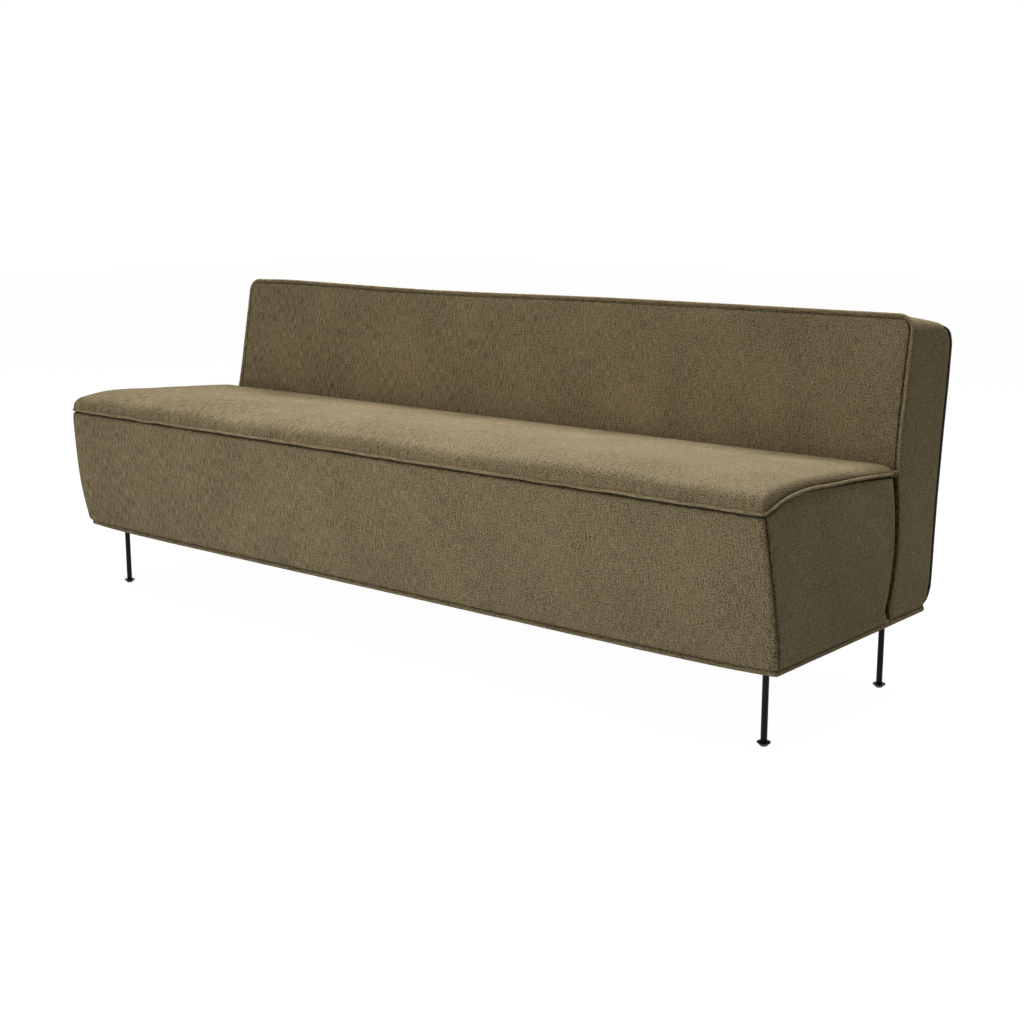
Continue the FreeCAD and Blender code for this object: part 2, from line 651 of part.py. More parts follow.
def s_on_base(n):
    """Where a line along the slope leaves the base board."""
    return n * math.tan(LEAN)


def heel_centre():
    return lean_point(BACK_HEEL_RISE, BACK_T - BACK_HEEL_R)


def back_outline(front_n, top_s, rear_n, shoulder_r):
    """Closed side view of the back, or of a layer inside it. The foot stands on the base board."""
    front_foot = lean_point(s_on_base(front_n), front_n)
    front_top = lean_point(top_s, front_n)
    top_end = lean_point(top_s, rear_n - shoulder_r)
    shoulder_end = lean_point(top_s - shoulder_r, rear_n)
    heel_r = BACK_HEEL_R - (BACK_T - rear_n)
    centre = heel_centre()
    heel_start = lean_point(BACK_HEEL_RISE, rear_n)
    drop = min(centre[1] - BOARD_TOP_Z, heel_r)
    heel_end = (centre[0] + math.sqrt(heel_r ** 2 - drop ** 2), centre[1] - drop)
    edges = [
        side_line(front_foot, front_top),
        side_line(front_top, top_end),
        side_arc(top_end, shoulder_end, lean_point(top_s - shoulder_r, rear_n - shoulder_r)),
        side_line(shoulder_end, heel_start),
        side_arc(heel_start, heel_end, centre),
    ]
    foot = (heel_end[0], BOARD_TOP_Z)
    if math.dist(heel_end, foot) > 0.001:
        edges.append(side_line(heel_end, foot))
    return edges + [side_line(foot, front_foot)]


def back_half_width(s, inset=0.0):
    """Half the back's width at a height along its slope."""
    top = HALF_WIDTH - BACK_TOP_INSET
    flare_s = BACK_HEIGHT - BACK_CORNER_R
    radius = BACK_FLARE_R + inset
    return top + BACK_FLARE_R - math.sqrt(radius ** 2 - (flare_s - s) ** 2)


def lean_vector(x, s, n):
    y, z = lean_point(s, n)
    return FreeCAD.Vector(x, y, z)


def back_side_edges(inset, n, s0, sign):
    """One end of the back's front view, from s0 up to the top: the flare and the top corner."""
    flare_s = BACK_HEIGHT - BACK_CORNER_R
    corner_r = BACK_CORNER_R - inset
    x_top = back_half_width(flare_s, inset)
    middle_s = (s0 + flare_s) / 2.0
    half = math.sqrt(0.5)
    flare = [lean_vector(sign * back_half_width(s, inset), s, n) for s in (s0, middle_s, flare_s)]
    corner_x = x_top - corner_r
    corner = [
        flare[2],
        lean_vector(sign * (corner_x + half * corner_r), flare_s + half * corner_r, n),
        lean_vector(sign * corner_x, flare_s + corner_r, n),
    ]
    return [Part.Arc(*flare).toShape(), Part.Arc(*corner).toShape()]


def back_front_path(inset, n, s0):
    """Edges up one end, across the top and down the other, in a plane along the back's front face."""
    right = back_side_edges(inset, n, s0, 1.0)
    left = back_side_edges(inset, n, s0, -1.0)
    top_right = right[1].Vertexes[-1].Point
    top_left = left[1].Vertexes[-1].Point
    return right + [Part.LineSegment(top_right, top_left).toShape()] + left[::-1]


def back_block(inset, rear_inset):
    """The back's upholstered form, drawn in by an inset."""
    edges = back_front_path(inset, -REACH, -REACH)
    right_foot = lean_vector(back_half_width(-REACH, inset), -REACH, -REACH)
    left_foot = lean_vector(-back_half_width(-REACH, inset), -REACH, -REACH)
    edges.append(Part.LineSegment(left_foot, right_foot).toShape())
    face = Part.Face(Part.Wire(Part.__sortEdges__(edges)))
    through = lean_vector(0, 0, BACK_T + 2.0 * REACH) - lean_vector(0, 0, 0)
    outline = back_outline(inset, BACK_HEIGHT - inset, BACK_T - rear_inset, BACK_SHOULDER_R - rear_inset)
    return along_x(outline, -WIDTH, WIDTH).common(face.extrude(through))


def lean_slab(s0, s1, n0, n1):
    """Prism over the whole width between two heights along the slope and two depths."""
    corners = [lean_point(s0, n0), lean_point(s1, n0), lean_point(s1, n1), lean_point(s0, n1)]
    return along_x(side_polygon(corners), -WIDTH, WIDTH)


def back_welt_n():
    return COVER_T


def back_welt(diameter):
    """Piping round the edge of the back's front panel."""
    n = back_welt_n()
    start_s = s_on_base(n) + diameter * math.tan(LEAN) + CLEAR
    path = Part.Wire(Part.__sortEdges__(back_front_path(-WELT_PROUD, n, start_s)))
    return tube(path, diameter)


def back_covers():
    """Front panel, band over the ends and the top, and the rear cover turned round the rear edges."""
    skin = back_block(0.0, 0.0).cut(back_block(COVER_T, COVER_T)).cut(back_welt(WELT_D + 2.0 * SCREW_PLAY))
    front_slab = lean_slab(-BACK_T, 2.0 * BACK_HEIGHT, -REACH, COVER_T)
    rest = skin.cut(front_slab)
    lip = back_outline(0.0, BACK_HEIGHT - REAR_LIP, BACK_T - REAR_LIP, BACK_SHOULDER_R - REAR_LIP)
    top = lean_slab(BACK_HEIGHT - BACK_SHOULDER_R, BACK_HEIGHT + REACH, 0.0, BACK_T - BACK_SHOULDER_R)
    band_space = along_x(lip, -WIDTH, WIDTH).fuse(top)
    return {
        "back_front_cover": skin.common(front_slab),
        "back_band": rest.common(band_space),
        "back_rear_cover": rest.cut(band_space),
    }


def back_core():
    """Limits of the space that holds the back's frame: half its length, top, front and rear."""
    half = HALF_WIDTH - BACK_TOP_INSET - LINING - BACK_END_PAD_LEAST
    top_s = BACK_HEIGHT - LINING - BACK_TOP_PAD_T
    front_n = LINING + BACK_FOAM_T
    rear_n = BACK_T - LINING - BACK_REAR_PAD_T
    return half, top_s, front_n, rear_n


def back_frame():
    half, top_s, front_n, rear_n = back_core()
    rib_n = front_n + WEB_T
    outline = back_outline(rib_n, top_s, rear_n, RIB_SHOULDER_R)
    ribs = {
        "back_rib_left": along_x(outline, -half, -half + RIB_T),
        "back_rib_centre": along_x(outline, -RIB_T / 2.0, RIB_T / 2.0),
        "back_rib_right": along_x(outline, half - RIB_T, half),
    }
    rail_n = rib_n + BACK_RAIL_D
    foot = [lean_point(s_on_base(rib_n), rib_n), lean_point(BACK_FOOT_RAIL_RISE, rib_n),
            lean_point(BACK_FOOT_RAIL_RISE, rail_n), lean_point(s_on_base(rail_n), rail_n)]
    sections = {
        "back_top_rail": rail_section(top_s - BACK_RAIL_W, top_s, rib_n, rail_n),
        "back_middle_rail": rail_section(BACK_MID_RAIL_S, BACK_MID_RAIL_S + BACK_RAIL_W, rib_n, rail_n),
        "back_rear_rail": rail_section(BACK_MID_RAIL_S, BACK_MID_RAIL_S + BACK_RAIL_W,
                                       rear_n - BACK_RAIL_D, rear_n),
        "back_foot_rail": foot,
    }
    bores = [rod(x, y, BOARD_TOP_Z, BACK_BOLT_D + 2.0 * SCREW_PLAY, BACK_BOLT_GRIP)
             for x, y in back_bolt_places()]
    nodes = {name: [rib] for name, rib in ribs.items()}
    for name, section in sections.items():
        right = along_x(side_polygon(section), RIB_T / 2.0, half - RIB_T)
        nodes[name] = [right, mirrored(right)]
    nodes["back_foot_rail"] = [cut_all(rail, bores) for rail in nodes["back_foot_rail"]]
    return nodes


def rail_section(s0, s1, n0, n1):
    return [lean_point(s0, n0), lean_point(s1, n0), lean_point(s1, n1), lean_point(s0, n1)]


def back_bolt_places():
    """Bolts up into the middle of the foot rail."""
    _, _, front_n, _ = back_core()
    n = front_n + WEB_T + BACK_RAIL_D / 2.0
    y, _ = lean_point(s_on_base(n) + BACK_BOLT_GRIP / 2.0, n)
    return [(side * x, y) for side in SIDES.values() for x in BACK_BOLT_X]


def back_bolt(x, y):
    head = rod(x, y, BOARD_Z, BACK_BOLT_HEAD_D, BACK_BOLT_HEAD_H)
    top = BOARD_TOP_Z + BACK_BOLT_GRIP
    return head.fuse(rod(x, y, BOARD_Z + BACK_BOLT_HEAD_H, BACK_BOLT_D, top - BOARD_Z - BACK_BOLT_HEAD_H))


def back_webbing():
    """Straps across the ribs, under the foam."""
    half, top_s, front_n, _ = back_core()
    low_s = BACK_FOOT_RAIL_RISE
    middle = (low_s + top_s) / 2.0
    straps = []
    for c in spaced(top_s - low_s, WEB_W, BACK_WEB_PITCH):
        section = rail_section(middle + c - WEB_W / 2.0, middle + c + WEB_W / 2.0, front_n, front_n + WEB_T)
        straps.append(along_x(side_polygon(section), -half + WEB_LANDING, half - WEB_LANDING))
    return straps


def back_filling():
    """Foam in front of the frame and padding round it."""
    form = back_block(LINING, LINING)
    half, top_s, front_n, rear_n = back_core()
    foam = lean_slab(-BACK_T, 2.0 * BACK_HEIGHT, -REACH, front_n)
    behind = lean_slab(-BACK_T, 2.0 * BACK_HEIGHT, rear_n, BACK_T + REACH)
    above = lean_slab(top_s, 2.0 * BACK_HEIGHT, -REACH, BACK_T + REACH)
    ring = form.cut([foam, behind])
    ends = ring.cut(above)
    return {
        "back_foam": form.common(foam),
        "back_rear_padding": form.common(behind),
        "back_top_padding": ring.common(above),
        "back_end_padding_left": ends.common(box_between(-WIDTH, -half, -WIDTH, WIDTH, 0, WIDTH)),
        "back_end_padding_right": ends.common(box_between(half, WIDTH, -WIDTH, WIDTH, 0, WIDTH)),
    }


def main():
    os.makedirs("parts", exist_ok=True)
    for end, side, x, y in leg_places():
        export("leg_" + end + "_" + side, [leg(x, y)])
        export("glide_" + end + "_" + side, [glide(x, y)])
    export("leg_screws", [leg_screw(x, y) for x, y in all_leg_screw_places()])
    export("base_board", [base_board()])
    export("base_edge_roll", [base_edge_roll()])
    export("dust_cover", [dust_cover()])
    export("seat_screws", [seat_screw(x, y) for x, y in seat_screw_places()])
    export("back_bolts", [back_bolt(x, y) for x, y in back_bolt_places()])
    export("seat_welt", [seat_welt(WELT_D)])
    export("back_welt", [back_welt(WELT_D)])
    export("back_webbing", back_webbing())
    for nodes in (seat_frame(), seat_springing(), back_frame()):
        for name, solids in nodes.items():
            export(name, solids)
    for nodes in (seat_covers(), seat_filling(), back_covers(), back_filling()):
        for name, solid in nodes.items():
            export(name, [solid])


main()
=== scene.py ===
"""Upholstered banquette: soft panels, piping, base roll, rod legs, finishes, light and camera."""
import bpy
import json
import math
import numpy as np
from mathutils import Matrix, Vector


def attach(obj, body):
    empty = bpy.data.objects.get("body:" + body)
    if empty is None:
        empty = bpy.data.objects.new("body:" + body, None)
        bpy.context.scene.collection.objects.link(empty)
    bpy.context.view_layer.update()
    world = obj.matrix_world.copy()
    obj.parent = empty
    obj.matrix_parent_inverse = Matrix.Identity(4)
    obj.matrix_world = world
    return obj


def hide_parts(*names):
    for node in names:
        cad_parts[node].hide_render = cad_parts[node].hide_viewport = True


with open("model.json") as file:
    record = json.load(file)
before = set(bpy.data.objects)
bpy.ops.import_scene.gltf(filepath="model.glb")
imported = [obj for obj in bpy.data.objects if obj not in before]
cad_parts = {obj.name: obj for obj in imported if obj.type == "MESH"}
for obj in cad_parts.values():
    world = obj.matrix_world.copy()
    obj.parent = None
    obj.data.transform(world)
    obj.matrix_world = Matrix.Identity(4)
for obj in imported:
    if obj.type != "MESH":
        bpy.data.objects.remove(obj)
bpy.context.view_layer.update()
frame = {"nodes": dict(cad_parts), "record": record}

MM = 0.001
FULL_TURN = 2.0 * math.pi
QUARTER_TURN = math.pi / 2.0
MIRROR_X = np.array([-1.0, 1.0, 1.0])
SIDES = {"left": -1.0, "right": 1.0}

# Sizes in millimetres, the same as those of the solids
HALF_WIDTH = 1050.0
FRONT_Y = -390.35
PANEL_FOOT_Y = -341.85
PANEL_TURN = math.radians(6.0)
PANEL_TURN_R = 300.0
NOSE_IN = 26.5
NOSE_UP = 31.0
CREST_RUN = 164.0
CREST_UP = 7.0
END_ROLL_R = 15.0
SEAM_IN = 8.0
SEAT_GAP = 5.0
WELT_Z = 475.0
WELT_R = 3.25
WELT_PROUD = 1.4
WELT_CORNER_R = 8.0
BASE_FRONT_Y = -342.85
BASE_REAR_Y = 268.15
BASE_FRONT_R = 9.0
BASE_REAR_R = 12.0
BOARD_Z = 166.0
BOARD_TOP_Z = 178.0
LEAN = math.radians(10.0)
BACK_FOOT_Y = 105.15
BACK_HEIGHT = 617.0
BACK_T = 193.0
BACK_CORNER_R = 30.0
BACK_CORNER_X = 982.0
BACK_CORNER_S = 587.0
REAR_CORNER_R = 12.0
SHOULDER_N, SHOULDER_S, SHOULDER_R = 148.0, 572.0, 45.0
HEEL_N, HEEL_S, HEEL_R = 150.0, 70.0, 43.0
LINING_LIP = 10.0
LEG_X = 985.0
LEG_Y = {"front": -275.85, "rear": 193.15}
LEG_TOP_Z = 161.0
PLATE_TOP_Z = 165.0
PLATE_R = 35.0
ROD_R = 6.5
ROD_FOOT_Z = 8.5

# How far the seat's ends are drawn in from HALF_WIDTH at three heights, in front and at the rear
INSET_Z = (178.0, 290.0, 480.0)
FRONT_INSETS = (2.0, 0.5, 14.0)
REAR_INSETS = (17.0, 9.5, 35.0)
END_MARGIN = 0.3
END_TOP_Z = WELT_Z + NOSE_UP + 60.0

# Forms of the cloth in millimetres that the solids leave out
CREST_DOME = 11.0
FLARE_TOP_Z = 202.0
FOOT_HALF = 1046.6
FOOT_DROP = 4.4
FOOT_BOW = 16.0
BOW_END_X = 1048.0
FOOT_TUCK = 1.9
TUCK_HEIGHT = 3.5
GAP_BESIDE_BACK = 14.0
GAP_RECESS = 26.0
SEAT_HIDES_S = 303.0

# Rows of points close to a welt and to the base, and the flap behind a corner seam
BESIDE_WELT = (8.8, 7.3, 6.2, 5.2, 4.2, 3.4, 2.6, 0.0)
ABOVE_BASE = (0.0, 2.0, 4.0, 6.5, 9.5)
PLAIN_FROM_BASE = 13.0
PLAIN_TO_WELT = 12.0
SEAM_FLAP = ((-11.0, -9.0, 0.0), (-6.5, -6.0, 0.0), (-3.0, -3.0, 0.0))
# Point attribute of painted shade: it darkens the cloth under welts, in seams, along the feet and in the
# gaps beside the back
PAINTED_SEAM_SHADE = "painted_seam_shade"


# Curves in the side view, as arrays of (y, z)

def arc_centre(start, heading, end):
    """Centre of the arc that leaves start along a heading and runs to end, and its end heading."""
    left = (-math.sin(heading), math.cos(heading))
    chord = (end[0] - start[0], end[1] - start[1])
    radius = (chord[0] ** 2 + chord[1] ** 2) / (2.0 * (chord[0] * left[0] + chord[1] * left[1]))
    centre = (start[0] + radius * left[0], start[1] + radius * left[1])
    return centre, 2.0 * math.atan2(chord[1], chord[0]) - heading


def on_circle(centre, radius, angles):
    x = centre[0] + radius * np.cos(angles)
    return np.stack([x, centre[1] + radius * np.sin(angles)], axis=1)


def arc(start, end, centre, count):
    """Points on the shorter arc from start to end."""
    first = math.atan2(start[1] - centre[1], start[0] - centre[0])
    last = math.atan2(end[1] - centre[1], end[0] - centre[0])
    turn = (last - first + math.pi) % FULL_TURN - math.pi
    angles = first + turn * np.linspace(0.0, 1.0, count)
    radius = math.dist(start, centre)
    return on_circle(centre, radius, angles)


def quarter(count):
    """Angles of a quarter turn."""
    return np.linspace(0.0, QUARTER_TURN, count)


def round_off(past, radius):
    """Reach of a quarter circle at a distance past its start: the radius, falling to nothing."""
    return np.sqrt(np.clip(radius ** 2 - np.clip(past, 0.0, radius) ** 2, 0.0, None))


def chain(*curves):
    """Curves joined end to end, with shared points kept once."""
    return np.concatenate([curves[0]] + [c[1:] for c in curves[1:]])


def lengths(points, axis=0):
    """Distance walked along a line or along one direction of a grid."""
    steps = np.linalg.norm(np.diff(points, axis=axis), axis=-1)
    start = np.zeros_like(np.take(steps, [0], axis=axis))
    return np.concatenate([start, np.cumsum(steps, axis=axis)], axis=axis)


def evenly(points, pitch):
    """The same line with points at an even pitch."""
    walked = lengths(points)
    at = np.linspace(0.0, walked[-1], max(2, int(round(walked[-1] / pitch)) + 1))
    return np.stack([np.interp(at, walked, points[:, i]) for i in range(points.shape[1])], axis=1)


def smoothed(values, reach):
    """Mean of each value and its neighbours on both sides, without the outermost ones."""
    window = np.ones(2 * reach + 1)
    return np.convolve(values, window / window.size, "valid")


def both_ends(end, middle, sign=1.0):
    """A row of points: one end mirrored, the middle, and the other end."""
    return np.concatenate([sign * end[::-1], middle, end])


def unit(vectors):
    """Vectors of a line at length one."""
    return vectors / np.linalg.norm(vectors, axis=1, keepdims=True)


def smooth_step(value, low, high):
    share = np.clip((value - low) / (high - low), 0.0, 1.0)
    return share * share * (3.0 - 2.0 * share)


def near(distance, reach):
    """1 at an edge, 0 further in than a few times the reach."""
    return np.exp(-(distance / reach) ** 2)


def rise(distance, reach):
    """0 at an edge, 1 further in than a few times the reach."""
    return 1.0 - near(distance, reach)


def slot(distance, depth, middle=4.9, reach=1.8):
    """Narrow slot beside a welt, whose edge itself lies under the welt."""
    return depth * np.exp(-((distance - middle) / reach) ** 4)


def foot_bow(x):
    """How far the foot of the front stands forward between its corners."""
    return FOOT_BOW * np.clip(1.0 - (x / BOW_END_X) ** 10, 0.0, 1.0)


def foot_share(z):
    """0 above the flare of a cover's foot, 1 at the top of the board."""
    return smooth_step(FLARE_TOP_Z - z, 0.0, FLARE_TOP_Z - BOARD_TOP_Z)


def foot_flare(x, z):
    """Ends drawn out over the edge of the board at their foot, and tucked in just above it."""
    tuck = FOOT_TUCK * np.clip(1.0 - (z - BOARD_TOP_Z) / TUCK_HEIGHT, 0.0, 1.0)
    return x + foot_share(z) * (np.sign(x) * (FOOT_HALF - tuck) - x)


def flare(points):
    """Lines or grids of the back with their foot drawn out and hanging below the top of the board."""
    points[..., 0] = foot_flare(points[..., 0], points[..., 2])
    points[..., 2] -= FOOT_DROP * foot_share(points[..., 2])
    return points


def seat_rear_y(z):
    return BACK_FOOT_Y + (z - BOARD_TOP_Z) * math.tan(LEAN) - SEAT_GAP / math.cos(LEAN)


def seat_front_lines():
    """Front panel from its foot up to the welt, the nose over the welt, and the top to the rear."""
    welt = (FRONT_Y, WELT_Z)
    turn_centre = (FRONT_Y + PANEL_TURN_R, WELT_Z)
    turn_end = (turn_centre[0] - PANEL_TURN_R * math.cos(PANEL_TURN),
                WELT_Z - PANEL_TURN_R * math.sin(PANEL_TURN))
    foot = (PANEL_FOOT_Y, BOARD_TOP_Z)
    panel_centre, _ = arc_centre(turn_end, PANEL_TURN - QUARTER_TURN, foot)
    nose_end = (FRONT_Y + NOSE_IN, WELT_Z + NOSE_UP)
    nose_centre, nose_heading = arc_centre(welt, QUARTER_TURN, nose_end)
    crest_end = (nose_end[0] + CREST_RUN, nose_end[1] + CREST_UP)
    crest_centre, slope = arc_centre(nose_end, nose_heading, crest_end)
    run = (seat_rear_y(crest_end[1]) - crest_end[0]) / (1.0 - math.tan(slope) * math.tan(LEAN))
    rear = (crest_end[0] + run, crest_end[1] + run * math.tan(slope))
    panel = chain(arc(foot, turn_end, panel_centre, 80), arc(turn_end, welt, turn_centre, 20))
    nose = arc(welt, nose_end, nose_centre, 40)
    crest = arc(nose_end, crest_end, crest_centre, 60)
    return panel, nose, chain(crest, np.linspace(crest_end, rear, 120))


PANEL_LINE, NOSE_LINE, TOP_LINE = seat_front_lines()


def panel_y(z):
    """Depth of the front panel's face at a height."""
    return np.interp(z, PANEL_LINE[:, 1], PANEL_LINE[:, 0])


def end_bulge(z, insets):
    """Half length of the seat at a height, on the circle through three insets of one end."""
    points = [(HALF_WIDTH - inset, height) for inset, height in zip(insets, INSET_Z)]
    (ax, ay), (bx, by), (cx, cy) = points
    d = 2.0 * (ax * (by - cy) + bx * (cy - ay) + cx * (ay - by))
    sq = [p[0] ** 2 + p[1] ** 2 for p in points]
    x = (sq[0] * (by - cy) + sq[1] * (cy - ay) + sq[2] * (ay - by)) / d
    y = (sq[0] * (cx - bx) + sq[1] * (ax - cx) + sq[2] * (bx - ax)) / d
    radius = math.hypot(ax - x, ay - y)
    return x + np.sqrt(radius ** 2 - (z - y) ** 2)


def seat_end_x(y, z):
    """Half the seat's length at a depth and a height."""
    front_y = FRONT_Y - END_MARGIN
    rear_y = seat_rear_y(END_TOP_Z) + END_MARGIN
    share = (y - front_y) / (rear_y - front_y)
    return (1.0 - share) * end_bulge(z, FRONT_INSETS) + share * end_bulge(z, REAR_INSETS)


def welt_side_line():
    """The seat's side welt from the front corner, over a long low crest, to the rear."""
    knots = np.array([
        (FRONT_Y + 6.6, WELT_Z), (-372.0, 476.5), (-351.0, 483.0), (-319.0, 490.5),
        (-280.0, 495.8), (-245.0, 497.4), (-189.0, 494.6), (-122.0, 490.6),
        (-53.0, 486.6), (19.0, 482.4), (92.0, 476.5), (seat_rear_y(472.0) - WELT_R, 472.0),
    ])
    y = np.linspace(knots[0, 0], knots[-1, 0], 270)
    z = np.interp(y, knots[:, 0], knots[:, 1])
    reach = 10
    before = 2.0 * z[0] - z[reach:0:-1]
    after = 2.0 * z[-1] - z[-2:-2 - reach:-1]
    return np.stack([y, smoothed(np.concatenate([before, z, after]), reach)], axis=1)


WELT_SIDE = welt_side_line()


# Seeded unevenness of stretched cloth

def ripple(u, v, seed, wave_u, wave_v):
    """Smooth random field of about unit size, with given wave lengths along and across."""
    rng = np.random.default_rng(seed)
    field = np.zeros(np.broadcast(u, v).shape)
    waves = 24
    for _ in range(waves):
        turn = rng.uniform(0.0, FULL_TURN)
        stretch = rng.uniform(0.6, 1.6)
        phase = rng.uniform(0.0, FULL_TURN)
        along = u * math.cos(turn) / wave_u + v * math.sin(turn) / wave_v
        field += np.cos(FULL_TURN * stretch * along + phase)
    return field / math.sqrt(waves / 2.0)


def unevenness(u, v, seed, broad, fine):
    """Broad and fine ripples together, each as (height, wave length along, wave length across)."""
    return (broad[0] * ripple(u, v, seed, *broad[1:])
            + fine[0] * ripple(u, v, seed + 1, *fine[1:]))


def line_ripple(walked, seed, wave):
    return ripple(walked, 0.0 * walked, seed, wave, wave)


def creases(u, v, marks):
    """Soft furrows: each mark is (u, v, angle in degrees, half length, half width, depth, bow)."""
    field = np.zeros(np.broadcast(u, v).shape)
    for u0, v0, angle, half_length, half_width, depth, bow in marks:
        turn = math.radians(angle)
        along = (u - u0) * math.cos(turn) + (v - v0) * math.sin(turn)
        across = (v - v0) * math.cos(turn) - (u - u0) * math.sin(turn)
        across = across - bow * (along / half_length) ** 2
        furrow = near(across, half_width)
        ridge = near(across - 1.9 * half_width, half_width)
        field += depth * near(along, half_length) * (0.55 * ridge - furrow)
    return field


# Meshes

def in_scene(name, data):
    """Object with its data, linked to the scene."""
    piece = bpy.data.objects.new(name, data)
    bpy.context.scene.collection.objects.link(piece)
    return piece


def grid_map(points):
    """Cloth coordinates in millimetres: u along the rows from the middle, v up the columns."""
    u = lengths(points, axis=1)
    u = u - u[:, [u.shape[1] // 2]]
    v = lengths(points, axis=0)
    v = np.repeat(v[:, [v.shape[1] // 2]], u.shape[1], axis=1)
    return u, v


def to_ends(u):
    """Distance along each row to its nearer end."""
    return np.abs(u).max(axis=1, keepdims=True) - np.abs(u)


def puffed(points, height):
    """A grid of points moved outwards along its normals."""
    normal = np.cross(np.gradient(points, axis=1), np.gradient(points, axis=0))
    normal = normal / np.maximum(np.linalg.norm(normal, axis=2, keepdims=True), 1e-9)
    return points + normal * height[..., None]


def corners(grid):
    """The four corners of each cell of a grid."""
    return np.stack([grid[:-1, :-1], grid[:-1, 1:], grid[1:, 1:], grid[1:, :-1]], axis=2)


def sheet_mesh(name, points, u, v, finish, wall=0.0, shade=None, wrap_rows=False, wrap_cols=False):
    """Object from a grid of points in millimetres, with a cloth map in metres and a wall inwards."""
    rows, cols = points.shape[:2]
    index = np.arange(rows * cols).reshape(rows, cols)
    uv = np.stack(np.broadcast_arrays(u, v), axis=2)
    if wrap_rows:
        index = np.concatenate([index, index[:1]], axis=0)
        uv = np.concatenate([uv, uv[-1:] + (uv[-1:] - uv[-2:-1])], axis=0)
    if wrap_cols:
        index = np.concatenate([index, index[:, :1]], axis=1)
        uv = np.concatenate([uv, uv[:, -1:] + (uv[:, -1:] - uv[:, -2:-1])], axis=1)
    mesh = bpy.data.meshes.new(name)
    mesh.from_pydata((points.reshape(-1, 3) * MM).tolist(), [], corners(index).reshape(-1, 4).tolist())
    layer = mesh.uv_layers.new(name="cloth")
    layer.data.foreach_set("uv", (corners(uv) * MM).ravel())
    mesh.polygons.foreach_set("use_smooth", [True] * len(mesh.polygons))
    # shade is painted shade: the olive cloth reads it and darkens its colour there
    if shade is not None:
        field = mesh.attributes.new(PAINTED_SEAM_SHADE, "FLOAT", "POINT")
        field.data.foreach_set("value", np.clip(shade, 0.0, 1.0).ravel())
    mesh.materials.append(finish)
    piece = in_scene(name, mesh)
    if wall:
        solid = piece.modifiers.new("wall", "SOLIDIFY")
        solid.thickness = wall * MM
        solid.offset = -1.0
    return piece


def closed_round(name, points, u, v, finish):
    """Tube or turned piece from rings of points, with its ends drawn together."""
    piece = sheet_mesh(name, points, u, v, finish, wrap_cols=True)
    weld = piece.modifiers.new("ends", "WELD")
    weld.merge_threshold = 0.00001
    return piece


def tube_mesh(name, line, radius, finish):
    """Closed round tube along a line of points in millimetres."""
    around = 14
    turn = np.linspace(0.0, FULL_TURN, around, endpoint=False)[:, None]
    ahead = unit(np.gradient(line, axis=0))
    side = np.cross(ahead[0], (0.0, 0.0, 1.0))
    rings = []
    for place, heading in zip(line, ahead):
        side = side - heading * np.dot(side, heading)
        side /= np.linalg.norm(side)
        up = np.cross(side, heading)
        rings.append(place + radius * (np.cos(turn) * side + np.sin(turn) * up))
    cap = 0.4 * radius
    first = np.tile(line[0] - cap * ahead[0], (around, 1))
    last = np.tile(line[-1] + cap * ahead[-1], (around, 1))
    points = np.array([first] + rings + [last])
    walked = lengths(line)
    walked = np.concatenate([[0.0], walked, [walked[-1] + radius]])
    u = np.arange(around) * (FULL_TURN * radius / around)
    return closed_round(name, points, u[None, :], walked[:, None], finish)


def lathe_mesh(name, profile, x, y, finish):
    """Closed turned piece from (radius, z) points, upwards on the outside."""
    around = 48
    profile = np.array(profile)
    turn = np.linspace(0.0, FULL_TURN, around, endpoint=False)
    points = np.stack([
        x + profile[:, :1] * np.cos(turn),
        y + profile[:, :1] * np.sin(turn),
        np.repeat(profile[:, 1:], around, axis=1),
    ], axis=2)
    return closed_round(name, points, (turn * 10.0)[None, :], lengths(profile)[:, None], finish)


def set_on(piece, stands_for=(), body="banquette"):
    """Ties a piece to its body, and hides the solids that it stands for."""
    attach(piece, body)
    if stands_for:
        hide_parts(*stands_for)


# Finishes

class Nodes:
    """A node tree with a short way to add nodes to it."""

    def __init__(self, tree):
        self.tree = tree

    def feed(self, node, **inputs):
        """Sets inputs, by name or as i0, i1 by number, to values or to other nodes' outputs."""
        for key, value in inputs.items():
            socket = node.inputs[int(key[1:]) if key[1:].isdigit() else key.replace("_", " ")]
            for item in value if isinstance(value, list) else [value]:
                if isinstance(item, bpy.types.NodeSocket):
                    self.tree.links.new(item, socket)
                else:
                    socket.default_value = item

    def add(self, kind, out=0, settings=(), **inputs):
        """One output of a new node."""
        node = self.tree.nodes.new(kind)
        for key, value in dict(settings).items():
            setattr(node, key, value)
        self.feed(node, **inputs)
        return node.outputs[out]

    def math(self, operation, a, b):
        return self.add("ShaderNodeMath", settings={"operation": operation}, i0=a, i1=b)


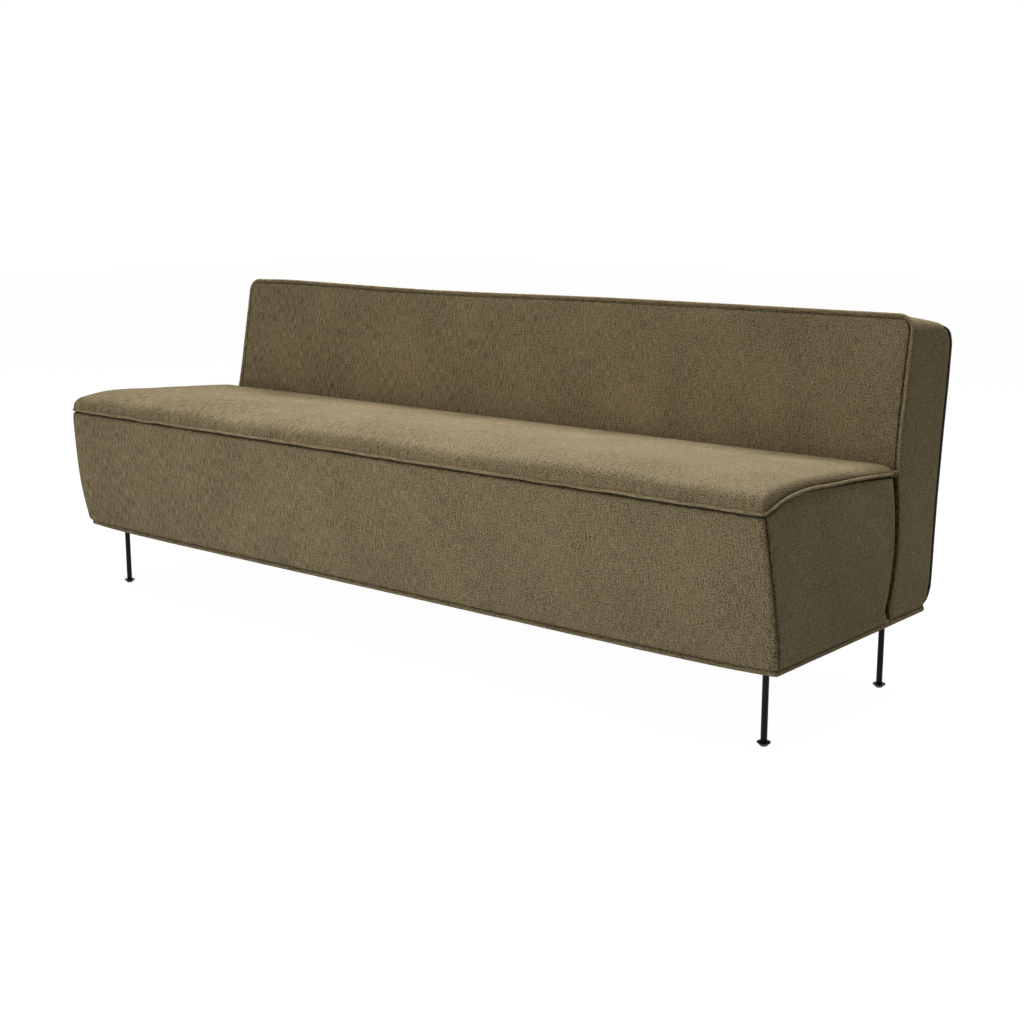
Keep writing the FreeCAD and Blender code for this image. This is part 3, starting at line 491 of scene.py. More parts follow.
class Finish(Nodes):
    """A node material with a Principled shader and short ways to add textures to it."""

    def __init__(self, name):
        self.material = bpy.data.materials.new(name)
        self.material.use_nodes = True
        super().__init__(self.material.node_tree)
        self.shader = self.tree.nodes["Principled BSDF"]

    def keep(self, **inputs):
        """Fields or plain constants on the shader's own sockets."""
        self.feed(self.shader, **inputs)

    def cloth_place(self, along, across, turn=0.0):
        """Cloth coordinates scaled along and across the piece."""
        coords = self.add("ShaderNodeUVMap", settings={"uv_map": "cloth"})
        return self.add("ShaderNodeMapping", Vector=coords, Scale=(along, across, 1.0),
                        Rotation=(0.0, 0.0, turn))

    def solid_place(self, *scale):
        """Object coordinates scaled in each direction."""
        coords = self.add("ShaderNodeTexCoord", "Object")
        return self.add("ShaderNodeMapping", Vector=coords, Scale=scale)

    def length_share(self, left, right):
        """0 at one place along the object's length and 1 at another, in metres."""
        coords = self.add("ShaderNodeTexCoord", "Object")
        x = self.add("ShaderNodeSeparateXYZ", "X", i0=coords)
        return self.add("ShaderNodeMapRange", Value=x, From_Min=left, From_Max=right)

    def noise(self, place, detail=2.0, roughness=0.5):
        return self.add("ShaderNodeTexNoise", "Fac", Vector=place, Scale=1.0, Detail=detail,
                        Roughness=roughness)

    def threads(self, place, pitch, direction):
        """Even threads at a pitch; a wave texture at scale 1 has one band every 0.31416 m."""
        bands = {"wave_type": "BANDS", "bands_direction": direction, "wave_profile": "SIN"}
        return self.add("ShaderNodeTexWave", "Fac", bands, Vector=place, Scale=0.31416 / pitch,
                        Distortion=0.0)

    def weigh(self, *terms):
        """Sum of fields, each times its weight."""
        parts = [self.math("MULTIPLY", field, weight) for field, weight in terms]
        total = parts[0]
        for part in parts[1:]:
            total = self.math("ADD", total, part)
        return total

    def spread(self, field, low, high):
        return self.add("ShaderNodeMapRange", Value=field, To_Min=low, To_Max=high)

    def colour(self, field, *stops):
        """Base colour along a field, from stops of (position, colour)."""
        node = self.tree.nodes.new("ShaderNodeValToRGB")
        elements = node.color_ramp.elements
        while len(elements) < len(stops):
            elements.new(0.5)
        for element, (position, colour) in zip(elements, stops):
            element.position = position
            element.color = (*colour, 1.0)
        self.feed(node, Fac=field)
        self.keep(Base_Color=node.outputs["Color"])

    def rough(self, field, low, high):
        self.keep(Roughness=self.spread(field, low, high))

    def bump(self, field, distance, strength):
        self.keep(Normal=self.add("ShaderNodeBump", Strength=strength, Distance=distance, Height=field))


# The near-black first stop is reached only where painted seam shade pulls the tone down; the equal
# second and third stops hold the plain dark thread tone
OLIVE_TONES = (
    (0.20, (0.012, 0.010, 0.005)),
    (0.30, (0.080, 0.071, 0.039)),
    (0.435, (0.080, 0.071, 0.039)),
    (0.51, (0.224, 0.178, 0.096)),
    (0.585, (0.450, 0.350, 0.204)),
)
WEAVE_PITCH = 0.0016


def woven_olive(name, light):
    """Matt olive-khaki cloth: slubbed upright threads, flecks and mottling, with painted shade darkening
    its seams, gaps and feet.
    """
    f = Finish(name)
    slub = f.noise(f.cloth_place(390.0, 42.0), 3.0, 0.65)
    weft = f.noise(f.cloth_place(40.0, 300.0), 2.0, 0.6)
    fleck = f.noise(f.cloth_place(420.0, 350.0), 2.0, 0.7)
    mottle = f.noise(f.cloth_place(6.0, 4.0), 3.0)
    flat = f.cloth_place(1.0, 1.0)
    weave = f.math("MULTIPLY", *[f.threads(flat, WEAVE_PITCH, direction) for direction in "XY"])
    end = f.length_share(-1.0, 0.6)
    upright = f.math("MULTIPLY", slub, f.spread(end, 0.50, 0.26))
    grain = f.math("MULTIPLY", fleck, f.spread(end, 0.38, 0.62))
    # Painted shade: the attribute lowers the tone towards near black under welts, in seams, along feet
    # and in gaps
    painted_shade = f.add("ShaderNodeAttribute", "Fac", {"attribute_name": PAINTED_SEAM_SHADE})
    tone = f.weigh((upright, 1.0), (weft, 0.06), (grain, 1.0), (mottle, 0.08), (weave, 0.06),
                   (painted_shade, -0.32))
    f.colour(tone, *[(at, tuple(light * c for c in colour)) for at, colour in OLIVE_TONES])
    f.rough(fleck, 0.82, 0.97)
    f.bump(f.weigh((slub, 0.55), (weft, 0.2), (fleck, 0.3), (weave, 0.5)), 0.0011, 0.6)
    f.keep(Sheen_Weight=0.10, Sheen_Roughness=0.45, Sheen_Tint=(0.60, 0.50, 0.32, 1.0),
           Specular_IOR_Level=0.2)
    return f.material


def black_lining():
    """Thin non-woven black lining cloth, with slanting ribs."""
    f = Finish("black_lining_cloth")
    fibre = f.noise(f.cloth_place(260.0, 900.0), 3.0, 0.65)
    ribs = f.threads(f.cloth_place(1.0, 1.0, turn=0.785), 0.0022, "X")
    f.colour(fibre, (0.25, (0.012, 0.012, 0.012)), (0.75, (0.030, 0.029, 0.028)))
    f.rough(fibre, 0.75, 0.95)
    f.bump(f.weigh((fibre, 0.6), (ribs, 0.4)), 0.0004, 0.5)
    f.keep(Specular_IOR_Level=0.3)
    return f.material


def black_powder_coat():
    """Satin black coating on steel, with fine orange peel."""
    f = Finish("black_powder_coat")
    peel = f.noise(f.solid_place(900.0, 900.0, 900.0))
    cloud = f.noise(f.solid_place(60.0, 60.0, 25.0), 3.0)
    f.colour(cloud, (0.3, (0.005, 0.005, 0.006)), (0.7, (0.010, 0.010, 0.011)))
    f.rough(cloud, 0.34, 0.48)
    f.bump(peel, 0.00012, 0.3)
    f.keep(Specular_IOR_Level=0.12)
    return f.material


def zinc_plate():
    """Zinc-plated steel of screws, bolts and staples."""
    f = Finish("zinc_plate")
    cloud = f.noise(f.solid_place(500.0, 500.0, 500.0), 3.0)
    f.colour(cloud, (0.3, (0.46, 0.46, 0.45)), (0.7, (0.62, 0.62, 0.60)))
    f.rough(cloud, 0.25, 0.42)
    f.bump(cloud, 0.0001, 0.3)
    f.keep(Metallic=1.0)
    return f.material


def raw_timber(name, scale, dark, light):
    """Planed timber or plywood with its grain along one direction."""
    f = Finish(name)
    grain = f.noise(f.solid_place(*scale), 4.0, 0.6)
    pores = f.noise(f.solid_place(*[4.0 * s for s in scale]))
    f.colour(f.weigh((grain, 0.75), (pores, 0.25)), (0.32, dark), (0.68, light))
    f.rough(pores, 0.6, 0.8)
    f.bump(pores, 0.0003, 0.4)
    return f.material


def elastic_webbing():
    """Dark ribbed webbing."""
    f = Finish("elastic_web")
    rib = f.noise(f.solid_place(300.0, 300.0, 300.0))
    f.colour(rib, (0.3, (0.09, 0.08, 0.07)), (0.7, (0.16, 0.145, 0.13)))
    f.rough(rib, 0.7, 0.9)
    f.bump(rib, 0.0005, 0.5)
    return f.material


OLIVE = woven_olive("olive_weave", 1.0)
# The piping is the same olive cloth made 22% lighter: partly the paler look of cloth stretched open over
# the cord, partly painted highlight
PIPING_PAINTED_HIGHLIGHT = woven_olive("olive_piping_weave", 1.22)
LINING = black_lining()
POWDER = black_powder_coat()
ZINC = zinc_plate()
SOFTWOOD = raw_timber("planed_softwood", (4.0, 60.0, 60.0), (0.46, 0.32, 0.18), (0.68, 0.53, 0.34))
PLYWOOD = raw_timber("raw_plywood", (8.0, 40.0, 160.0), (0.42, 0.30, 0.18), (0.62, 0.48, 0.31))
WEB = elastic_webbing()

NODE_FINISH = {"plywood": PLYWOOD, "softwood": SOFTWOOD, "zinc_steel": ZINC, "webbing": WEB,
               "black_metal": POWDER, "black_lining": LINING, "olive_fabric": OLIVE, "foam": WEB}
for part in frame["record"]["subparts"]:
    solid_finishes = frame["nodes"][part["node"]].data.materials
    solid_finishes.clear()
    solid_finishes.append(NODE_FINISH[part["material_slot"]])


# Seat panels: u and v are the cloth coordinates, and all heights and reaches are in millimetres

def front_columns(z, y_face, half):
    """Points of the front panel at one height: corner arc, straight front, corner arc."""
    turn = np.linspace(0.0, math.acos((END_ROLL_R - SEAM_IN) / END_ROLL_R), 9)
    corner_x = half - END_ROLL_R + END_ROLL_R * np.sin(turn)
    corner_y = y_face + END_ROLL_R * (1.0 - np.cos(turn))
    straight = np.linspace(-(half - END_ROLL_R), half - END_ROLL_R, 341)[1:-1]
    x = both_ends(corner_x, straight, -1.0)
    y = both_ends(corner_y, np.full_like(straight, y_face))
    return np.stack([x, y, np.full_like(x, z)], axis=1)


def seat_front():
    """Front panel between the welt, the base and the two corner seams, full above its foot."""
    line = evenly(PANEL_LINE, 5.0)
    close = PANEL_LINE[-1] - np.array([[0.0, d] for d in BESIDE_WELT])
    line = np.concatenate([line[line[:, 1] < close[0, 1] - 2.0], close])
    points = np.array([front_columns(z, y, float(seat_end_x(y, z))) for y, z in line])
    u, v = grid_map(points)
    below_welt = v.max() - v
    to_end = to_ends(u)
    edge = np.minimum(np.minimum(below_welt, v), to_end)
    full = 4.2 + 4.8 * smooth_step(below_welt, 60.0, 240.0)
    full = full * rise(below_welt, 7.5) * rise(v, 4.5)
    shallow_at_ends = 0.2 + 0.8 * smooth_step(to_end, 10.0, 50.0)
    groove = slot(below_welt, 12.0, middle=5.6, reach=2.4) * shallow_at_ends
    groove = groove + 4.4 * near(to_end, 2.4) + 2.6 * near(v, 2.2)
    uneven = unevenness(u, v, 11, broad=(0.5, 420.0, 260.0), fine=(0.25, 90.0, 160.0))
    points = puffed(points, full - groove + uneven * rise(edge, 25.0))
    low = np.clip(1.0 - v / v.max(), 0.0, 1.0) ** 1.6
    points[..., 1] -= foot_bow(points[..., 0]) * low
    points[..., 2] -= FOOT_DROP * low
    # Painted shade under the welt, along the foot and at the corner seams
    shade = slot(below_welt, 0.9, middle=5.4, reach=2.1)
    shade = shade + 0.8 * near(v, 2.6) + 0.6 * near(to_end, 2.2)
    piece = sheet_mesh("seat_front_panel", points, u, v, OLIVE, wall=7.0, shade=shade)
    set_on(piece, ("seat_front_cover", "seat_front_padding"))


def nose_marks():
    """Soft furrows over the rolled front, deeper towards the left end."""
    rng = np.random.default_rng(5)
    marks = []
    for _ in range(46):
        u = rng.uniform(-1010.0, 1010.0)
        strength = 1.0 if u < -150.0 else 0.55
        v = rng.uniform(14.0, 52.0)
        angle = rng.choice([-1.0, 1.0]) * rng.uniform(48.0, 80.0)
        half_length = rng.uniform(9.0, 20.0)
        half_width = rng.uniform(3.5, 6.5)
        depth = strength * rng.uniform(0.5, 1.3)
        marks.append((u, v, angle, half_length, half_width, depth, rng.uniform(-4.0, 4.0)))
    return marks


def top_side_line():
    """The top in the side view: over the nose, back to the rear roll and down into the gap."""
    rear = TOP_LINE[-1]
    roll_r = 10.0
    down = np.array([-math.sin(LEAN), -math.cos(LEAN)])
    slope_in = TOP_LINE[-2] - rear
    slope_in = slope_in / np.linalg.norm(slope_in)
    turn = quarter(7)[:, None]
    roll = rear + roll_r * slope_in * (1.0 - np.sin(turn)) + roll_r * down * (1.0 - np.cos(turn))
    gap_depth = 34.0
    fall = rear + down * np.linspace(roll_r, gap_depth, 6)[:, None]
    cut = TOP_LINE[np.linalg.norm(TOP_LINE - rear, axis=1) > roll_r + 0.5]
    return chain(evenly(NOSE_LINE, 2.8), evenly(chain(cut, roll), 6.5), fall)


def seat_top():
    """Top panel over the rolled front, rolled down to the side welts and into the gap at the rear."""
    line = top_side_line()
    rear_y = TOP_LINE[-1, 0]
    nose_y = FRONT_Y + 40.0
    welt_y = np.interp(line[:, 0], [FRONT_Y, nose_y, 400.0], [WELT_SIDE[0, 0], nose_y, 400.0])
    welt_y = np.minimum(welt_y, WELT_SIDE[-1, 0] + 2.0)
    welt_z = np.interp(welt_y, WELT_SIDE[:, 0], WELT_SIDE[:, 1])
    welt_x = seat_end_x(welt_y, welt_z)
    reach = 7.0 + 8.0 * smooth_step(line[:, 0], FRONT_Y, FRONT_Y + 30.0)
    reach = reach + 24.0 * smooth_step(line[:, 0], rear_y - 260.0, rear_y)
    turn = quarter(10)
    rows = []
    for (y, z), wy, wz, wx, r in zip(line, welt_y, welt_z, welt_x, reach):
        end_x = wx - r + r * np.sin(turn)
        end_y = wy + (y - wy) * np.cos(turn)
        end_z = wz + (z - wz) * np.cos(turn)
        straight = np.linspace(-(wx - r), wx - r, 331)[1:-1]
        rows.append(np.stack([
            both_ends(end_x, straight, -1.0),
            both_ends(end_y, np.full_like(straight, y)),
            both_ends(end_z, np.full_like(straight, z)),
        ], axis=1))
    points = np.array(rows)
    u, v = grid_map(points)
    to_end = to_ends(u)
    edge = np.minimum(v, to_end)
    to_gap = v.max() - 40.0 - v
    calm = rise(edge, 22.0) * smooth_step(to_gap, 0.0, 60.0)
    tuck = near(v, 4.0) + 1.2 * near(to_end, 4.0)
    uneven = 2.0 + unevenness(u, v, 21, broad=(1.9, 460.0, 300.0), fine=(0.5, 130.0, 150.0))
    folds = creases(u, v, nose_marks()) * rise(edge, 9.0)
    points = puffed(points, uneven * calm - tuck + folds)
    dome = smooth_step(v, 8.0, 120.0) * smooth_step(430.0 - v, 0.0, 290.0) * rise(to_end, 110.0)
    points[..., 2] += CREST_DOME * dome
    piece = sheet_mesh("seat_top_panel", points, u, v, OLIVE, wall=9.0)
    set_on(piece, ("seat_top_cover", "seat_foam", "seat_felt"))


def side_grid():
    """Right end panel before its fullness, with a flap in front and a turned edge at the rear."""
    pitch = 6.5
    welt = evenly(WELT_SIDE, pitch)
    close = np.array([[1.3], [2.6], [4.2]]) / pitch
    welt = np.concatenate([welt[:1], welt[:1] + close * (welt[1:2] - welt[:1]), welt[1:]])
    share = (welt[:, 0] - welt[0, 0]) / (seat_rear_y(welt[:, 1]) - welt[0, 0])
    share[-1] = 1.0
    rise_z = (welt[:, 1] - BOARD_TOP_Z)[None, :]
    low = np.repeat(np.array(ABOVE_BASE)[:, None], len(welt), axis=1)
    plain_z = rise_z - PLAIN_FROM_BASE - PLAIN_TO_WELT
    climb = PLAIN_FROM_BASE + np.linspace(0.0, 1.0, 48)[:, None] * plain_z
    z = BOARD_TOP_Z + np.concatenate([low, climb, rise_z - np.array(BESIDE_WELT)[:, None]])
    seam = panel_y(z) + SEAM_IN
    y = seam + share[None, :] * (seat_rear_y(z) - GAP_BESIDE_BACK - seam)
    into = np.clip(END_ROLL_R - (y - seam + SEAM_IN), 0.0, END_ROLL_R)
    x = seat_end_x(y, z) - END_ROLL_R + np.sqrt(END_ROLL_R ** 2 - into ** 2)
    points = flare(np.stack([x, y, z], axis=2))
    edge_r = 5.0
    turned = [edge_r * np.array([math.cos(a) - 1.0, math.sin(a), 0.0]) for a in quarter(6)[1:]]
    turned += [turned[-1] - np.array([d, 0.0, 0.0]) for d in (9.0, 18.0, 30.0)]
    flap = [points[:, 0] + np.array(step) for step in SEAM_FLAP]
    tail = [points[:, -1] + step for step in turned]
    return np.concatenate([np.stack(flap, axis=1), points, np.stack(tail, axis=1)], axis=1)


def seat_side(side, sign):
    """End panel between the corner seam, the side welt, the base and the gap in front of the back."""
    points = side_grid()
    u, v = grid_map(points)
    up = lengths(points)
    below_welt = up[-1][None, :] - up
    across = lengths(points, axis=1)
    from_seam = np.maximum(across - across[:, [len(SEAM_FLAP)]], 0.0)
    off_rear = smooth_step(from_seam.max() - from_seam, 30.0, 70.0)
    edge = np.minimum(np.minimum(below_welt, v), from_seam)
    full = 2.6 * rise(below_welt, 8.0) * rise(v, 4.5) * rise(from_seam, 5.0) * off_rear
    groove = slot(below_welt, 7.0) + 3.2 * near(from_seam, 2.4) + 2.4 * near(v, 2.2)
    seed = 31 if sign > 0 else 34
    uneven = unevenness(u, v, seed, broad=(0.5, 260.0, 240.0), fine=(0.25, 90.0, 130.0))
    points = puffed(points, full - groove + uneven * rise(edge, 25.0) * off_rear)
    # Painted shade under the welt, along the foot, at the corner seam and on the edge turned into the
    # gap before the back
    shade = 0.7 * slot(below_welt, 1.0) + 0.8 * near(v, 2.6) + 0.8 * near(from_seam, 2.2)
    shade = shade + 0.9 * smooth_step(across - across[:, -1:] + 34.0, 0.0, 4.0)
    if sign < 0:
        points = points[:, ::-1] * MIRROR_X
        u = -u[:, ::-1]
        v = v[:, ::-1]
        shade = shade[:, ::-1]
    piece = sheet_mesh("seat_side_panel_" + side, points, u, v, OLIVE, wall=5.0, shade=shade)
    set_on(piece, ("seat_side_cover_" + side, "seat_side_padding_" + side))


def seat_welt():
    """Piping along the seat's front and both ends, tucked into the gap at the rear."""
    start_y = WELT_SIDE[0, 0]
    front_x = float(seat_end_x(start_y, WELT_Z)) + WELT_PROUD
    rear_x = float(seat_end_x(*WELT_SIDE[-1])) + WELT_PROUD
    turn_in = math.atan2(front_x - rear_x, WELT_SIDE[-1, 0] - start_y)
    run = WELT_SIDE[:, 0] - start_y
    side = np.stack([
        front_x - run * math.sin(turn_in),
        start_y + run * math.cos(turn_in),
        WELT_SIDE[:, 1],
    ], axis=1)
    side[:, 0] -= 5.0 * np.clip(1.0 - (run[-1] - run) / 18.0, 0.0, 1.0) ** 2
    turn = QUARTER_TURN + turn_in
    line_x = front_x - WELT_CORNER_R * math.sin(turn)
    line_y = start_y - WELT_CORNER_R * (1.0 - math.cos(turn))
    angle = np.linspace(0.0, turn, 12)
    corner = np.stack([
        line_x + WELT_CORNER_R * np.sin(angle),
        line_y + WELT_CORNER_R * (1.0 - np.cos(angle)),
        np.full_like(angle, WELT_Z),
    ], axis=1)
    half = chain(np.array([[0.0, line_y, WELT_Z], [line_x, line_y, WELT_Z]]), corner, side)
    line = evenly(chain((half * MIRROR_X)[::-1], half), 3.0)
    from_corner = np.hypot(np.abs(line[:, 0]) - front_x, line[:, 1] - line_y)
    tight = 1.9 * near(from_corner, 20.0)
    line[:, 0] -= np.sign(line[:, 0]) * tight
    line[:, 1] += tight
    walked = lengths(line)
    line[:, 2] += 0.4 * line_ripple(walked, 41, 150.0)
    line[:, 1] += 0.25 * line_ripple(walked, 42, 110.0)
    piece = tube_mesh("seat_piping", line, WELT_R, PIPING_PAINTED_HIGHLIGHT)
    set_on(piece, ("seat_welt",))


# Back: s runs up its slope from the foot of its front face, n runs through it to the rear

def lean(x, s, n):
    return np.stack(np.broadcast_arrays(
        x,
        BACK_FOOT_Y + s * math.sin(LEAN) + n * math.cos(LEAN),
        BOARD_TOP_Z + s * math.cos(LEAN) - n * math.sin(LEAN),
    ), axis=-1)


FINE_S = np.linspace(-40.0, 660.0, 701)


def soft_half(*knots):
    """Half the back's width at each fine height, from knots of (height, half width), smoothed."""
    half = np.interp(FINE_S, *np.array(knots).T)
    half[15:-15] = smoothed(half, 15)
    return half


HALF_AT_FRONT = soft_half(
    (0.0, 1037.0), (22.0, 1039.5), (63.0, 1042.0), (114.0, 1043.0), (164.0, 1041.0), (225.0, 1034.0),
    (266.0, 1027.0), (300.0, 1020.5), (340.0, 1016.0), (400.0, 1014.0), (BACK_CORNER_S, 1012.0))
HALF_AT_REAR = soft_half(
    (0.0, 1037.0), (60.0, 1037.0), (100.0, 1035.0), (180.0, 1030.0), (250.0, 1026.0), (400.0, 1020.0),
    (500.0, 1017.0), (BACK_CORNER_S, 1013.0))


def back_half(s, share=0.0):
    """Half the back's width at a height: full beside the seat in front, plainer at the rear."""
    front = np.interp(s, FINE_S, HALF_AT_FRONT)
    rear = np.interp(s, FINE_S, HALF_AT_REAR)
    fade = (1.0 - share) ** 1.3
    return front * fade + rear * (1.0 - fade)


def sagged(x, s):
    """Height along the slope, let down towards the top between the corners."""
    droop = 7.0 * near(x + 330.0, 430.0) + 4.0 * near(x + 1000.0, 90.0)
    return s - droop * smooth_step(s, 380.0, BACK_HEIGHT)


def band_depth(s):
    """Depth of the band's rear edge at a height: round shoulder above, round heel below."""
    shoulder = SHOULDER_N + round_off(s - SHOULDER_S, SHOULDER_R - LINING_LIP)
    heel = HEEL_N + round_off(HEEL_S - s, HEEL_R - LINING_LIP)
    return np.minimum(shoulder, heel)


def back_front():
    """Front panel of the back inside its welt, set in behind the gaps beside the seat."""
    close = np.array(BESIDE_WELT)
    s = np.concatenate([np.linspace(0.0, 575.0, 84), np.linspace(577.0, 606.0, 11),
                        BACK_HEIGHT - close])[:, None]
    corner = BACK_CORNER_X + round_off(s - BACK_CORNER_S, BACK_CORNER_R)
    half = np.where(s > BACK_CORNER_S, corner, back_half(s))
    inner = np.linspace(-1.0, 1.0, 341)[None, :] * (half - PLAIN_TO_WELT)
    x = np.concatenate([-(half - close[::-1]), inner, half - close], axis=1)
    edge = np.minimum(half - np.abs(x), BACK_HEIGHT - s)
    points = lean(x, sagged(x, s), 0.0)
    u, v = grid_map(points)
    open_face = smooth_step(s, 340.0, 430.0)
    full = 5.0 * open_face * (0.45 * rise(edge, 9.0) + 0.55 * rise(edge, 120.0))
    beside_seat = smooth_step(SEAT_HIDES_S - s, 0.0, 26.0)
    recess = smooth_step(edge, 8.0, 24.0) * smooth_step(70.0 - edge, 0.0, 30.0) * beside_seat
    groove = slot(edge, 4.0) + GAP_RECESS * recess
    uneven = unevenness(u, v, 51, broad=(0.7, 520.0, 260.0), fine=(0.3, 140.0, 140.0))
    points = puffed(points, full - groove + uneven * open_face * rise(edge, 25.0))
    # Painted shade along the welt and over the recess seen through the gaps beside the seat
    shade = 0.6 * slot(edge, 1.0) + beside_seat * smooth_step(edge, 3.0, 7.0)
    piece = sheet_mesh("back_front_panel", points, u, v, OLIVE, wall=4.0, shade=shade)
    set_on(piece, ("back_front_cover", "back_foam"))


def band_rows(share):
    """x and s of the band's edge at one share of its depth; its top corner is tighter at the rear."""
    radius = BACK_CORNER_R + (REAR_CORNER_R - BACK_CORNER_R) * share
    corner_s = BACK_HEIGHT - radius
    s_end = np.concatenate([ABOVE_BASE, np.linspace(PLAIN_FROM_BASE, corner_s, 86)])
    turn = quarter(14)[1:]
    top_half = float(back_half(corner_s, share))
    top_x = np.linspace(top_half - radius, 0.0, 150)[1:]
    x = np.concatenate([back_half(s_end, share), top_half - radius + radius * np.cos(turn), top_x])
    s = np.concatenate([s_end, corner_s + radius * np.sin(turn), np.full_like(top_x, BACK_HEIGHT)])
    return np.concatenate([x, -x[-2::-1]]), np.concatenate([s, s[-2::-1]])


def back_band():
    """Band over the ends and the top of the back, from the front welt to the lining at the rear."""
    welt_n = 2.0
    beside_welt = (0.0, 0.015, 0.02, 0.026, 0.032, 0.038, 0.046)
    columns = []
    depths = []
    for share in np.concatenate([beside_welt, np.linspace(0.07, 0.96, 20), [0.98, 1.0]]):
        x, flat_s = band_rows(share)
        s = flat_s
        for _ in range(4):
            n = welt_n + share * (band_depth(s) - welt_n)
            s = flat_s + n * math.tan(LEAN) * np.clip(1.0 - flat_s / 60.0, 0.0, 1.0)
        columns.append(lean(x, sagged(x, s), n))
        depths.append(np.stack([n - welt_n, band_depth(s) - n], axis=1))
    points = np.stack(columns, axis=1)
    depth, to_rear = np.moveaxis(np.stack(depths, axis=1), 2, 0)
    u, v = grid_map(points)
    edge = np.minimum(depth, to_rear)
    full = 2.8 * rise(depth, 7.0) * rise(to_rear + 3.0, 9.0)
    uneven = unevenness(v, depth, 61, broad=(0.4, 240.0, 160.0), fine=(0.25, 80.0, 120.0))
    points = puffed(points, full - slot(depth, 2.4) + uneven * rise(edge, 18.0))
    # Painted shade beside the welt and along the foot just above the board
    shade = 0.4 * slot(depth, 1.0) + 0.8 * near(points[..., 2] - BOARD_TOP_Z, 2.6)
    piece = sheet_mesh("back_side_band", flare(points), u, v, OLIVE, wall=7.0, shade=shade)
    stands_for = ("back_band", "back_end_padding_left", "back_end_padding_right", "back_top_padding")
    set_on(piece, stands_for)


def rear_line():
    """Rear of the back in the side view as (n, s): heel, leaning rear and shoulder."""
    foot_in = 12.0
    foot = (HEEL_N + foot_in, HEEL_S - math.sqrt(HEEL_R ** 2 - foot_in ** 2))
    heel_end = (BACK_T, HEEL_S)
    shoulder_start = (BACK_T, SHOULDER_S)
    heel = arc(foot, heel_end, (HEEL_N, HEEL_S), 16)
    shoulder = arc(shoulder_start, (SHOULDER_N, BACK_HEIGHT), (SHOULDER_N, SHOULDER_S), 18)
    return chain(heel, np.linspace(heel_end, shoulder_start, 64), shoulder)


def back_rear():
    """Black lining over the rear, turned round the rear edges onto the ends."""
    line = rear_line()
    ahead = unit(np.gradient(line, axis=0))
    inward = np.stack([-ahead[:, 1], ahead[:, 0]], axis=1)
    edge_r = 4.0
    proud = 2.6
    turn = quarter(7)[1:]
    roll_in = np.concatenate([edge_r * (1.0 - np.cos(turn)), [8.0, 11.5]])
    corner_s = BACK_HEIGHT - REAR_CORNER_R
    rows = []
    for (n, s), (step_n, step_s) in zip(line, inward):
        half = float(back_half(min(s, corner_s), 1.0)) + proud
        half += float(round_off(s - corner_s, REAR_CORNER_R)) - REAR_CORNER_R
        straight = np.linspace(half - edge_r, -(half - edge_r), 150)
        roll_x = np.concatenate([half - edge_r + edge_r * np.sin(turn), [half, half - 0.6]])
        x = np.concatenate([roll_x[::-1], straight, -roll_x])
        drawn = both_ends(roll_in, 0.0 * straight)
        rows.append(lean(x, sagged(x, s + step_s * drawn), n + step_n * drawn))
    points = np.array(rows)
    u, v = grid_map(points)
    calm = rise(to_ends(u), 60.0) * smooth_step(v, 40.0, 120.0) * smooth_step(v.max() - v, 60.0, 140.0)
    uneven = unevenness(u, v, 71, broad=(0.7, 500.0, 300.0), fine=(0.3, 160.0, 200.0))
    points = puffed(points, uneven * calm)
    points[..., 2] -= FOOT_DROP * foot_share(points[..., 2])
    piece = sheet_mesh("back_rear_lining", points, u, v, LINING, wall=2.0)
    set_on(piece, ("back_rear_cover", "back_rear_padding"))


def back_edge(offset):
    """Edge of the back's front panel as (x, s): up the right end, over the top, down the left end."""
    s = np.linspace(0.0, BACK_CORNER_S, 120)
    end = np.stack([back_half(s) + offset, s], axis=1)
    corner = on_circle((BACK_CORNER_X, BACK_CORNER_S), BACK_CORNER_R + offset, quarter(20))
    half = chain(end, corner, np.array([corner[-1], [0.0, BACK_HEIGHT + offset]]))
    return evenly(chain(half, (half * MIRROR_X[:2])[::-1]), 3.0)


def back_welt():
    """Piping round the back's front panel, from the base up over the top and down again."""
    edge = back_edge(WELT_PROUD + 0.9)
    edge = edge[edge[:, 1] > 2.0]
    walked = lengths(edge)
    x = edge[:, 0] + 0.15 * line_ripple(walked, 81, 130.0)
    n = 0.8 + 0.25 * line_ripple(walked, 82, 120.0)
    line = flare(lean(x, sagged(edge[:, 0], edge[:, 1]), n))
    piece = tube_mesh("back_piping", line, WELT_R, PIPING_PAINTED_HIGHLIGHT)
    set_on(piece, ("back_welt",))


# Base, legs and glides

def base_edge(inset, pitch):
    """The base's outline in plan, drawn in, as a closed line of (x, y)."""
    proud = 0.7
    x = FOOT_HALF + proud - inset
    y_front = BASE_FRONT_Y + inset
    y_rear = BASE_REAR_Y - inset
    least_r = 2.0
    front_r = max(BASE_FRONT_R - inset, least_r)
    rear_r = max(BASE_REAR_R - inset, least_r)
    centres = (
        (x - front_r, y_front + front_r, front_r),
        (x - rear_r, y_rear - rear_r, rear_r),
        (-x + rear_r, y_rear - rear_r, rear_r),
        (-x + front_r, y_front + front_r, front_r),
    )
    parts = [on_circle((cx, cy), r, quarter(14) + (index - 1) * QUARTER_TURN)
             for index, (cx, cy, r) in enumerate(centres)]
    return evenly(np.concatenate(parts + [parts[0][:1]]), pitch)[:-1]


def along_edge(edge):
    """Direction of a closed line at each of its points."""
    return unit(np.roll(edge, -1, axis=0) - np.roll(edge, 1, axis=0))


